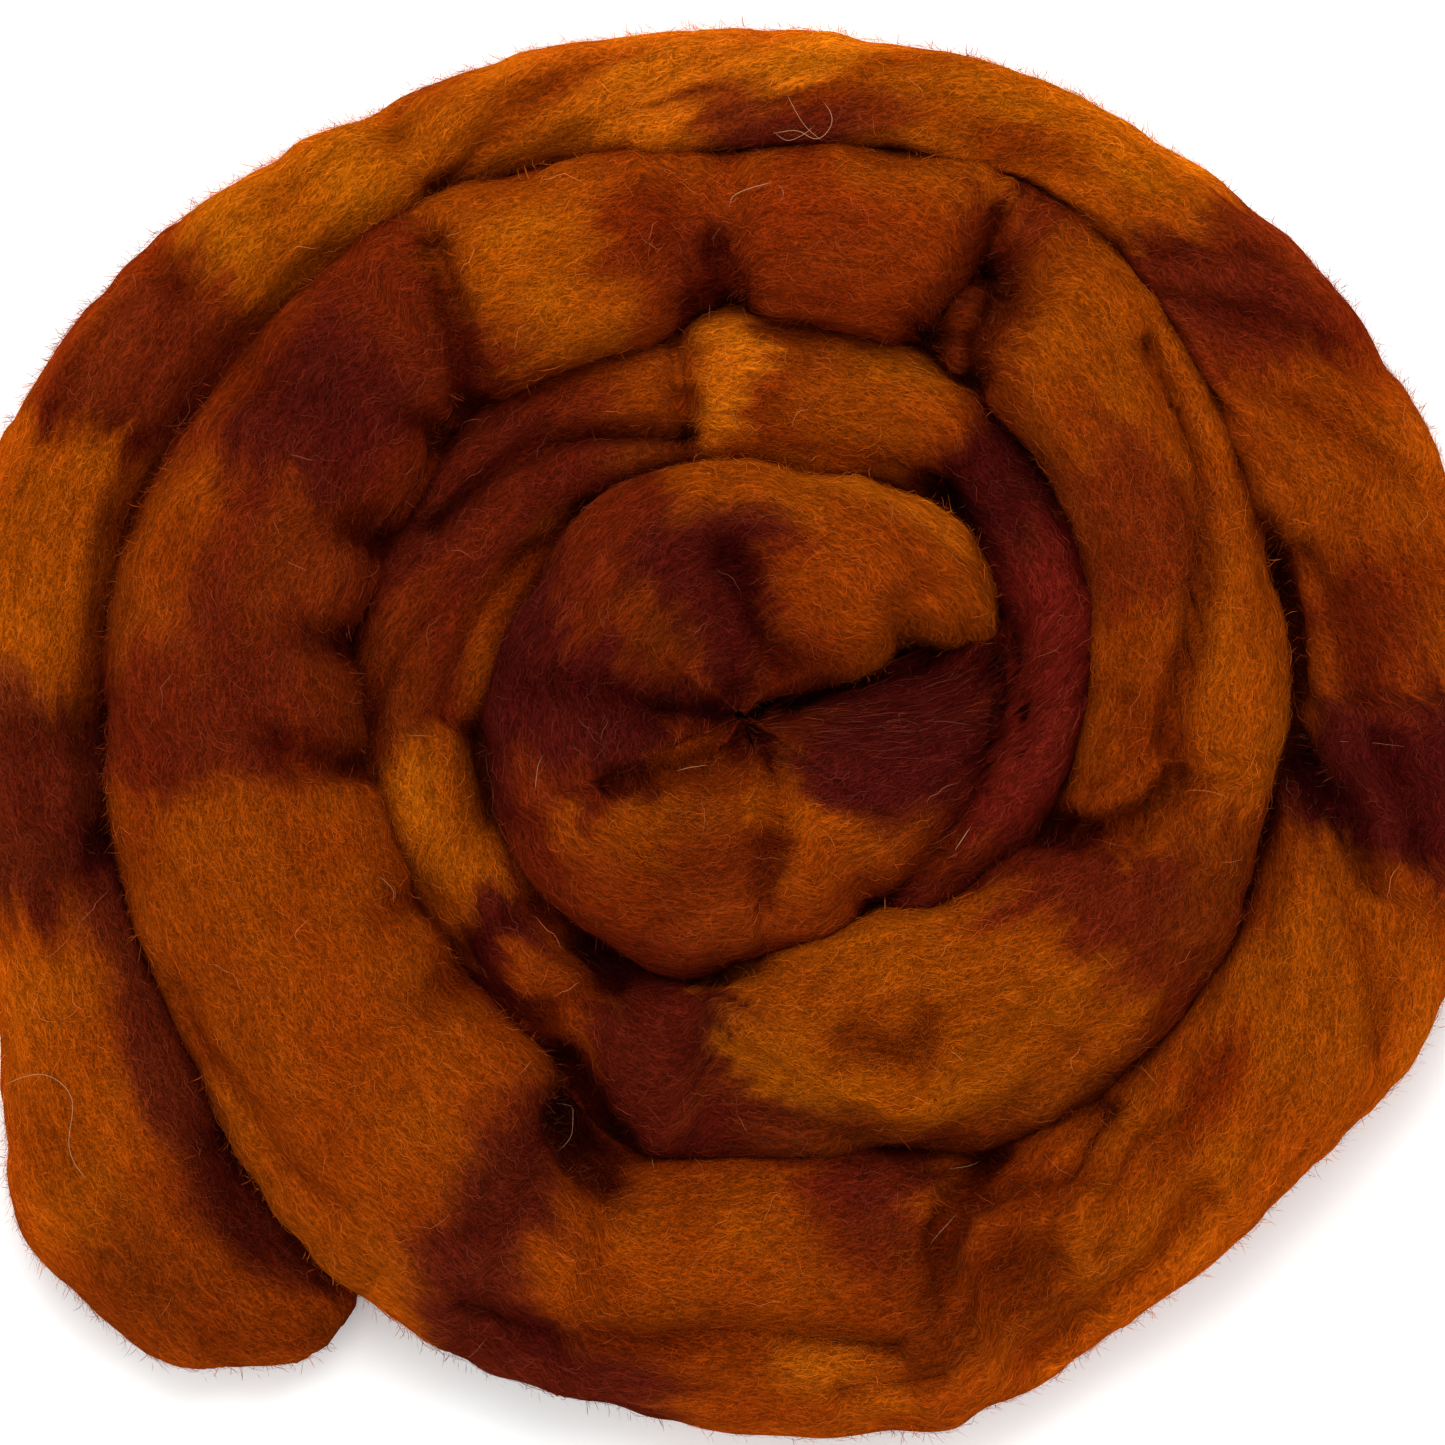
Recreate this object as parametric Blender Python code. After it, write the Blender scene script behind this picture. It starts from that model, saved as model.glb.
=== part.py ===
"""Wool roving: one loose strand of combed, hand-dyed wool, laid down as a flat spiral coil.

The strand starts with a blunt end on top of the tight ball in the middle, winds outward anticlockwise
as seen from above for a little over three and a half turns, and stops in a wide blunt tail. It is one
soft piece, so it is one solid.

The solid is a sweep. Every section of the strand stands in an upright plane through the spiral's axis.
Neighbouring turns share a seam: the seam at a winding angle is the outer edge of the strand there and
the inner edge of the strand one full turn further on. So the turns lie against each other, a little
apart, and never run into each other. Angles are in degrees along the winding: 20 is the inner end,
380 lies one turn further out, and so on. Lengths in the tables are in millimetres.
"""

import math
from collections import namedtuple

import bmesh
import bpy
import numpy as np

MM = 0.001
TURN = 360.0

# ---------------------------------------------------------------- driving dimensions
START_ANGLE = 20.0        # winding angle of the inner end
END_ANGLE = 1317.0        # winding angle of the outer end
PASSING_STEP = 1.4        # degrees over which the strand moves out past its own inner end
SEAM_GAP = 0.8            # clear width between two turns
SEAM_HEIGHT = 24.0        # height at which a leaning seam has the radius in its table
SIDE_POINTS = 19          # points round a section, from one bottom edge over the top to the other
BOTTOM_TUCK = 50.0        # degrees below the horizontal where the section turns into its flat bottom
FULLNESS = 2.5            # exponent of the rounded section: 2 is an ellipse, more is fuller
NOSE_LENGTH = 16.0        # degrees over which the blunt inner end rounds off
NOSE_SHARE = 0.7          # height of its first section, as a share of the full one
TAIL_REACH = 0.8          # degrees by which the closing point of the tail stands out
FOLD_FADE = (0.4, 0.75)   # shares of the section's height between which the folds come in
DEEPEST_SHARE = 0.7       # a fold takes away at most this share of the height

# Degrees between two sections, from a winding angle on. Turns that touch keep to matching angles.
Stretch = namedtuple("Stretch", ("start", "step"))
STRETCHES = (Stretch(START_ANGLE, 6.0), Stretch(740.0, 4.0), Stretch(1284.0, 3.0))

# Outer edge of the strand, seen from above.
SEAM_COLUMNS = ("angle", "radius")
SEAM_ROWS = (
    # round the ball in the middle
    (20, 74.1), (45, 72.8), (60, 69.7), (75, 65.0), (105, 65.2), (135, 63.7), (150, 61.4), (180, 64.5),
    (210, 67.1), (255, 68.9), (270, 63.7), (285, 61.1), (303, 61.8), (315, 70.7), (330, 77.5), (345, 85.3),
    # round the sunken first turn
    (360, 89.7), (390, 101.4), (420, 104.8), (450, 105.0), (465, 100.9), (495, 104.8), (510, 102.2),
    (525, 103.5), (540, 100.1), (570, 97.0), (600, 102.2), (615, 118.3), (630, 114.4), (645, 116.5),
    (660, 129.5), (690, 139.1),
    # round the high second turn
    (720, 142.7), (735, 144.6), (765, 156.8), (780, 161.7), (795, 153.4), (810, 146.9), (840, 155.2),
    (870, 161.2), (885, 165.9), (915, 165.4), (930, 167.2), (945, 174.7), (960, 181.2), (990, 184.6),
    (1005, 192.4), (1020, 187.5), (1035, 187.7), (1065, 199.7),
    # round the outer turn and its tail
    (1080, 198.1), (1110, 191.6), (1140, 183.3), (1170, 178.6), (1200, 183.6), (1230, 200.7),
    (1245, 204.9), (1260, 200.7), (1275, 205.4), (1284, 210.3), (1292, 225.0), (1300, 230.5),
    (1305, 228.5), (1308, 225.0), (1313, 213.0), (1317, 200.5),
)

# Small pit that the first turn is wound around: its radius at the seam height, and how much it widens
# for each millimetre of height.
PIT_COLUMNS = ("angle", "radius", "widening")
PIT_ROWS = ((20, 3.5, 0.1), (320, 3.5, 0.1), (345, 6.0, 0.2), (379, 9.0, 0.3))

# How far a seam leans outward for each millimetre of height, where the strand inside it hangs over.
LEAN_COLUMNS = ("angle", "lean")
LEAN_ROWS = (
    (20, 0.18), (330, 0.18), (365, -0.05), (400, -0.2), (590, -0.15), (620, 0.1), (700, 0.2),
    (740, 0.22), (960, 0.15), (1000, 0.0), (1317, 0.0),
)

# Crest of the strand: its height, and its place across the strand (0 inner edge, 1 outer edge).
CREST_COLUMNS = ("angle", "height", "place")
CREST_ROWS = (
    (20, 56, 0.55), (50, 60, 0.58), (90, 58, 0.52), (150, 56, 0.5), (210, 57, 0.5), (270, 57, 0.5),
    (310, 54, 0.42), (345, 50, 0.4), (370, 43, 0.45), (395, 37, 0.5), (440, 41, 0.5), (462, 41, 0.5),
    (485, 35, 0.52), (540, 34, 0.5), (595, 37, 0.5), (620, 46, 0.5), (645, 52, 0.55), (680, 49, 0.5),
    (715, 53, 0.5), (790, 55, 0.48), (850, 53, 0.5), (900, 54, 0.5), (960, 51, 0.46), (990, 48, 0.42),
    (1015, 45, 0.48), (1080, 45, 0.5), (1140, 41, 0.52), (1200, 41, 0.54), (1260, 42, 0.52),
    (1292, 42, 0.5), (1306, 36, 0.5), (1317, 22, 0.5),
)

# Soft creases (depth above 0) and ridges (depth below 0) in the upper side. Each follows a line of
# (direction from the axis, radius) points, and fades out over its width to both sides.
Fold = namedtuple("Fold", ("name", "depth", "width", "line"))
FOLDS = (
    # ball
    Fold("hollow under the inner end", 20, 7, ((16, 23), (50, 20), (75, 28))),
    Fold("crease across the ball", 9, 4, ((201, 39), (215, 17), (309, 17))),
    Fold("crease down the ball", 8, 4, ((326, 14), (292, 28), (281, 49))),
    Fold("edge of the ball on the right", 12, 5, ((300, 61), (330, 61), (345, 63), (360, 68), (376, 74))),
    # sunken first turn
    Fold("pit behind the ball", 8, 5, ((50, 76), (55, 78))),
    Fold("end of the golden bulge", 10, 5, ((101, 75), (101, 83))),
    Fold("split between two thin strands", 9, 5, ((104, 77), (120, 81), (135, 90), (150, 96), (154, 103))),
    Fold("pocket in the folded strand", 12, 9, ((292, 95), (297, 107))),
    Fold("folded edge", -5, 6, ((269, 75), (280, 91), (288, 108), (292, 114), (298, 111), (306, 110))),
    Fold("fold beside the ball", 12, 6, ((341, 88), (343, 101), (345, 114))),
    # high second turn
    Fold("long crease on the right", 8, 5, ((345, 112), (360, 118), (375, 129), (390, 135))),
    Fold("deep fold at the upper right", 14, 6, ((63, 107), (62, 130), (61, 150))),
    Fold("its side fold", 8, 5, ((56, 109), (57, 135))),
    Fold("pinch at the top", 11, 6, ((91, 107), (93, 130))),
    Fold("bent crease", 9, 6, ((122, 147), (124, 130), (129, 117), (138, 109))),
    Fold("faint crease", 4, 6, ((144, 153), (144, 125))),
    Fold("pinch at the upper left", 12, 6, ((154, 103), (156, 117))),
    Fold("pinch at the left", 7, 5, ((170, 105), (170, 122))),
    Fold("lower pinch at the left", 7, 5, ((187, 104), (187, 117))),
    Fold("dark hollow at the lower left", 15, 8, ((241, 104), (249, 130), (246, 156))),
    Fold("fold across the bottom", 14, 7, ((285, 179), (289, 155), (292, 130))),
    # outer turn
    Fold("split rim at the bottom", 8, 5, ((225, 171), (240, 172), (255, 166))),
    Fold("notch in the rim", 8, 6, ((261, 160), (264, 172))),
)

WOOL_COLOUR = (0.23, 0.032, 0.003, 1.0)
WOOL_ROUGHNESS = 0.95


class Curve:
    """A smooth curve through one column of a table. It never overshoots the rows."""

    def __init__(self, rows, columns, name):
        self.angles = np.array([row[columns.index("angle")] for row in rows], dtype=float)
        self.values = np.array([row[columns.index(name)] for row in rows], dtype=float)
        steps = np.diff(self.values) / np.diff(self.angles)
        before, after = steps[:-1], steps[1:]
        same_way = before * after > 0.0
        total = np.where(same_way, before + after, 1.0)
        self.slopes = np.zeros(len(rows))
        self.slopes[1:-1] = np.where(same_way, 2.0 * before * after / total, 0.0)

    def at(self, angle):
        """Value at a winding angle, held constant past the first and last rows."""
        angle = min(max(angle, self.angles[0]), self.angles[-1])
        row = min(int(np.searchsorted(self.angles, angle, side="right")), len(self.angles) - 1) - 1
        span = self.angles[row + 1] - self.angles[row]
        share = (angle - self.angles[row]) / span
        square, cube = share ** 2, share ** 3
        return (
            (2 * cube - 3 * square + 1) * self.values[row]
            + (cube - 2 * square + share) * span * self.slopes[row]
            + (3 * square - 2 * cube) * self.values[row + 1]
            + (cube - square) * span * self.slopes[row + 1]
        )


SEAM = Curve(SEAM_ROWS, SEAM_COLUMNS, "radius")
LEAN = Curve(LEAN_ROWS, LEAN_COLUMNS, "lean")
PIT_RADIUS = Curve(PIT_ROWS, PIT_COLUMNS, "radius")
PIT_WIDENING = Curve(PIT_ROWS, PIT_COLUMNS, "widening")
CREST_HEIGHT = Curve(CREST_ROWS, CREST_COLUMNS, "height")
CREST_PLACE = Curve(CREST_ROWS, CREST_COLUMNS, "place")


def polar(direction, radius):
    """Point in plan from a direction in degrees and a radius."""
    turn = math.radians(direction)
    return np.array((radius * math.cos(turn), radius * math.sin(turn)))


def seam_radius(angle, height):
    """Radius, at a height, of the seam on the outer side of the strand."""
    return SEAM.at(angle) + LEAN.at(angle) * (height - SEAM_HEIGHT)


def inner_radius(angle, height):
    """Radius, at a height, of the inner side of the strand: the pit's wall or the seam inside it."""
    if angle < START_ANGLE + TURN:
        return PIT_RADIUS.at(angle) + PIT_WIDENING.at(angle) * (height - SEAM_HEIGHT)
    return seam_radius(angle - TURN, height) + SEAM_GAP / 2


def outer_radius(angle, height):
    """Radius, at a height, of the outer side of the strand."""
    return seam_radius(angle, height) - SEAM_GAP / 2


def rounded(value):
    """Sine or cosine of a point of the rounded section, as a share from 0 to 1."""
    return 0.5 + 0.5 * math.copysign(abs(value) ** (2.0 / FULLNESS), value)


def section_shares():
    """The section's points, as shares of its width and height, up one side and down the other."""
    lowest = rounded(-math.sin(math.radians(BOTTOM_TUCK)))
    sweep = 180.0 + 2.0 * BOTTOM_TUCK
    shares = []
    for step in range(SIDE_POINTS):
        turn = math.radians(-BOTTOM_TUCK + sweep * step / (SIDE_POINTS - 1))
        rise = (rounded(math.sin(turn)) - lowest) / (1.0 - lowest)
        shares.append((rounded(math.cos(turn)), max(0.0, rise)))
    shares.append((0.5, 0.0))
    return shares


def distance_to_line(point, line):
    """Distance in plan from a point to a line of straight stretches."""
    shortest = math.inf
    for start, end in zip(line, line[1:]):
        along = end - start
        share = min(1.0, max(0.0, float(np.dot(point - start, along) / np.dot(along, along))))
        shortest = min(shortest, float(np.linalg.norm(point - start - share * along)))
    return shortest


def fold_drop(point):
    """How far the folds lower the upper side at a point in plan."""
    drop = 0.0
    for fold in FOLDS:
        corners = [polar(direction, radius) for direction, radius in fold.line]
        drop += fold.depth * math.exp(-((distance_to_line(point, corners) / fold.width) ** 2))
    return drop


def nose_share(angle):
    """Height of the section near the blunt inner end, as a share of the full one."""
    reached = min(1.0, (angle - START_ANGLE) / NOSE_LENGTH)
    return NOSE_SHARE + (1.0 - NOSE_SHARE) * math.sqrt(1.0 - (1.0 - reached) ** 2)


def section_points(angle):
    """Corners of one section of the strand, in millimetres."""
    crest = CREST_HEIGHT.at(angle) * nose_share(angle)
    skew = math.log(CREST_PLACE.at(angle)) / math.log(0.5)
    fade_start, fade_end = FOLD_FADE
    points = []
    for across, rise in section_shares():
        height = rise * crest
        across = across ** skew
        radius = inner_radius(angle, height) * (1.0 - across) + outer_radius(angle, height) * across
        spot = polar(angle, radius)
        weight = min(1.0, max(0.0, (rise - fade_start) / (fade_end - fade_start)))
        drop = min(weight * fold_drop(spot), DEEPEST_SHARE * height) if weight else 0.0
        points.append((spot[0], spot[1], height - drop))
    return points


def winding_angles():
    """Winding angles of all sections, from the inner end to the tail."""
    angles = [START_ANGLE + TURN - PASSING_STEP, END_ANGLE]
    ends = [following.start for following in STRETCHES[1:]] + [END_ANGLE]
    for stretch, end in zip(STRETCHES, ends):
        angles.extend(np.arange(stretch.start, end, stretch.step))
    return sorted(angles)


def end_point(section, angle, turn):
    """Point that closes an end: the middle of its section, turned on a little."""
    middle = np.mean(section, axis=0)
    spot = polar(angle + turn, math.hypot(middle[0], middle[1]))
    return (spot[0], spot[1], middle[2])


def strand_mesh():
    """The closed skin of the strand, section by section."""
    sections = [section_points(angle) for angle in winding_angles()]
    skin = bmesh.new()
    rings = [[skin.verts.new(np.multiply(point, MM)) for point in section] for section in sections]
    first = skin.verts.new(np.multiply(end_point(sections[0], START_ANGLE, 0.0), MM))
    last = skin.verts.new(np.multiply(end_point(sections[-1], END_ANGLE, TAIL_REACH), MM))
    count = len(rings[0])
    for corner in range(count):
        beside = (corner + 1) % count
        for ring, following in zip(rings, rings[1:]):
            skin.faces.new((ring[corner], following[corner], following[beside], ring[beside]))
        skin.faces.new((rings[0][corner], rings[0][beside], first))
        skin.faces.new((rings[-1][beside], rings[-1][corner], last))
    for face in skin.faces:
        face.smooth = True
    mesh = bpy.data.meshes.new("roving")
    skin.to_mesh(mesh)
    skin.free()
    return mesh


def wool_material():
    """Matt orange wool."""
    material = bpy.data.materials.new("wool")
    material.use_nodes = True
    shader = material.node_tree.nodes["Principled BSDF"]
    shader.inputs["Base Color"].default_value = WOOL_COLOUR
    shader.inputs["Roughness"].default_value = WOOL_ROUGHNESS
    shader.inputs["Metallic"].default_value = 0.0
    return material


def build_roving():
    """The strand, placed so that the middle of its outline stands at the origin."""
    mesh = strand_mesh()
    mesh.materials.append(wool_material())
    roving = bpy.data.objects.new("roving", mesh)
    outline = np.array([vertex.co[:2] for vertex in mesh.vertices])
    middle = (outline.min(axis=0) + outline.max(axis=0)) / 2.0
    roving.location = (-middle[0], -middle[1], 0.0)
    bpy.context.scene.collection.objects.link(roving)
    return roving


def main():
    """Clear the scene and build the roving."""
    for item in list(bpy.data.objects):
        bpy.data.objects.remove(item)
    build_roving()


main()
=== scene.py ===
"""Looks of the wool roving: a loose, hand-dyed strand of combed wool laid down as a flat spiral coil.

The strand's body is a fine sweep over the same seams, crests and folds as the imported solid. Thousands
of crimped fibres lie on it along the way the wool was combed, thinner ones stand off its edges as a
halo, and a few long pale hairs stray over the top. Angles are winding angles in degrees: 20 is the
inner end on top of the ball, 380 lies one turn further out, and 1317 is the tail. Lengths in the
tables are in millimetres, as measured on the real coil, and shares run from 0, the strand's inner
edge, to 1, its outer edge.
"""

import logging
import math
from dataclasses import dataclass, field
from enum import Enum
from itertools import product

import bpy
import numpy as np
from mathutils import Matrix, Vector


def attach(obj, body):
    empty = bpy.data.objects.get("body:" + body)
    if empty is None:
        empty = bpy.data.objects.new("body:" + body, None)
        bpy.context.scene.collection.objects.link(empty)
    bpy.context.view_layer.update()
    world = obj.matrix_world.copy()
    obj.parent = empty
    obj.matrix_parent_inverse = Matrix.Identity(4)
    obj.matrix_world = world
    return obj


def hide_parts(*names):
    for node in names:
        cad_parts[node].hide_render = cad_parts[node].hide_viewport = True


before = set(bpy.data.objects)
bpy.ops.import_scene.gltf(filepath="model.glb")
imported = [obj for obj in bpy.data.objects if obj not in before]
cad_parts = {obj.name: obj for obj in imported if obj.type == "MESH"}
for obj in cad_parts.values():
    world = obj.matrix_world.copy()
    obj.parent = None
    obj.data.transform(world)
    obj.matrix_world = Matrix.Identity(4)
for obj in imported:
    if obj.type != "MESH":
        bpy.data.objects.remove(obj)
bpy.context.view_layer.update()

LOG = logging.getLogger("roving")

MM = 0.001
TURN = 360.0
ROOT = "root"
NODE = "roving"
# the dye layer also carries the skin's painted shade and glow, on the body and on its fibres
DYE_AND_PAINTED_LIGHT_LAYER = "dye"
FLOW_MAP = "flow"
BAKE_MAP = "OFBake"
CELL_MARGIN = 0.1       # free room round a ribbon in its cell of the bake map, as a share
TINY = 1e-9             # keeps a division from failing

# ---------------------------------------------------------------- the strand's measured form
START_ANGLE = 20.0
END_ANGLE = 1317.0
BALL_END = START_ANGLE + TURN       # from here on the strand has an earlier turn on its inner side
OUTER_START = END_ANGLE - TURN      # from here on nothing lies on its outer side
AXIS_PLACE = (1.424, 4.565)         # the spiral's axis in the frame, from the middle of the coil's outline
SEAM_GAP = -2.0                     # below 0, neighbouring turns press into each other
SEAM_HEIGHT = 24.0                  # where the radii of the seams are measured
BOTTOM_TUCK = 50.0                  # how far a section's sides turn in under it, in degrees
FULLNESS = 2.3                      # 2 is an oval section, and more gives it fuller shoulders
NOSE_LENGTH = 20.0                  # degrees over which the inner end swells to its full height
NOSE_SHARE = 0.3                    # share of that height at which it starts
TAIL_LENGTH = 3.2                   # degrees over which the tail closes
TAIL_SHARE = 0.3                    # share of its size at which it stops
PASSING = (335.0, 379.0)            # where the strand leaves the ball, its section parts into two rounds
AXIS_CAP = (3.0, 15.0, 43.0)        # round the axis the wool closes over: inner radius, outer radius, height
INNER_END = (
    # (share across the strand, winding angle where the inner end stops)
    (0.0, 20), (0.28, 18), (0.36, 16.5), (0.44, 16), (0.54, 18.5), (0.61, 22), (0.69, 19), (0.77, 16.5),
    (0.87, 15), (0.95, 16.5), (1.0, 22),
)

SEAM = (
    # (winding angle, radius): round the ball in the middle
    (20, 74.1), (45, 72.8), (60, 69.7), (75, 65.0), (105, 65.2), (135, 63.7), (150, 61.4), (180, 64.5),
    (210, 67.1), (255, 68.9), (270, 63.7), (285, 61.1), (303, 61.8), (315, 70.7), (330, 77.5), (345, 85.3),
    # round the sunken first turn
    (360, 89.7), (390, 101.4), (420, 104.8), (450, 105.0), (465, 100.9), (495, 104.8), (510, 102.2),
    (525, 103.5), (540, 100.1), (570, 97.0), (600, 102.2), (615, 118.3), (630, 114.4), (645, 116.5),
    (660, 129.5), (690, 139.1),
    # round the high second turn
    (720, 140.2), (735, 142.0), (765, 152.4), (780, 157.4), (795, 151.8), (810, 146.9), (840, 155.2),
    (870, 161.2), (885, 165.9), (915, 165.4), (930, 167.2), (945, 174.7), (960, 181.2), (990, 184.6),
    (1005, 192.4), (1020, 187.5), (1035, 187.7), (1065, 199.7),
    # round the outer turn and its tail
    (1080, 198.1), (1110, 191.6), (1140, 183.3), (1170, 178.6), (1200, 183.6), (1230, 200.7),
    (1245, 204.9), (1260, 200.7), (1275, 205.4), (1284, 210.3), (1292, 225.0), (1300, 230.5),
    (1305, 228.5), (1308, 225.0), (1313, 213.0), (1317, 200.5),
)
LEAN = (
    # (winding angle, outward lean of the seam for each millimetre of height)
    (20, 0.08), (330, 0.08), (365, -0.05), (400, -0.2), (590, -0.15), (620, 0.1), (700, 0.1),
    (740, 0.1), (960, 0.1), (1000, 0.0), (1317, 0.0),
)
PIT = (
    # (winding angle, radius of the small pit at the seam height, widening for each millimetre above it)
    (20, 0.8, 0.02), (300, 0.8, 0.02), (345, 4.0, 0.15), (379, 7.0, 0.25),
)
CREST = (
    # (winding angle, height, place across the strand)
    (20, 56, 0.55), (50, 60, 0.58), (90, 58, 0.52), (150, 56, 0.5), (210, 57, 0.5), (270, 57, 0.5),
    (310, 54, 0.42), (345, 50, 0.4), (370, 43, 0.45), (395, 37, 0.5), (440, 41, 0.5), (462, 41, 0.5),
    (485, 35, 0.52), (540, 34, 0.5), (595, 37, 0.5), (620, 46, 0.5), (645, 52, 0.55), (680, 49, 0.5),
    (715, 53, 0.5), (790, 55, 0.48), (850, 53, 0.5), (900, 54, 0.5), (960, 51, 0.46), (990, 48, 0.42),
    (1015, 45, 0.48), (1080, 45, 0.5), (1140, 41, 0.52), (1200, 41, 0.54), (1260, 42, 0.52),
    (1292, 42, 0.5), (1306, 36, 0.5), (1317, 22, 0.5),
)
DRIFT = (
    # (winding angle, how far the combed fibres move outward for each millimetre along the strand)
    (20, 0.0), (300, 0.0), (330, 0.15), (370, 0.0), (455, 0.0), (470, 0.3), (545, 0.3), (575, 0.1),
    (620, 0.1), (740, 0.12), (775, 0.05), (800, 0.0), (1000, 0.0), (1012, -0.45), (1060, -0.4),
    (1085, -0.38), (1130, -0.36), (1160, -0.3), (1200, -0.2), (1230, -0.05), (1317, 0.0),
)


@dataclass(frozen=True)
class Fold:
    """A soft crease (depth above 0) or ridge (depth below 0) along a line of (winding angle, share)."""

    name: str
    depth: float
    width: float
    line: tuple[tuple[float, float], ...]


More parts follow.
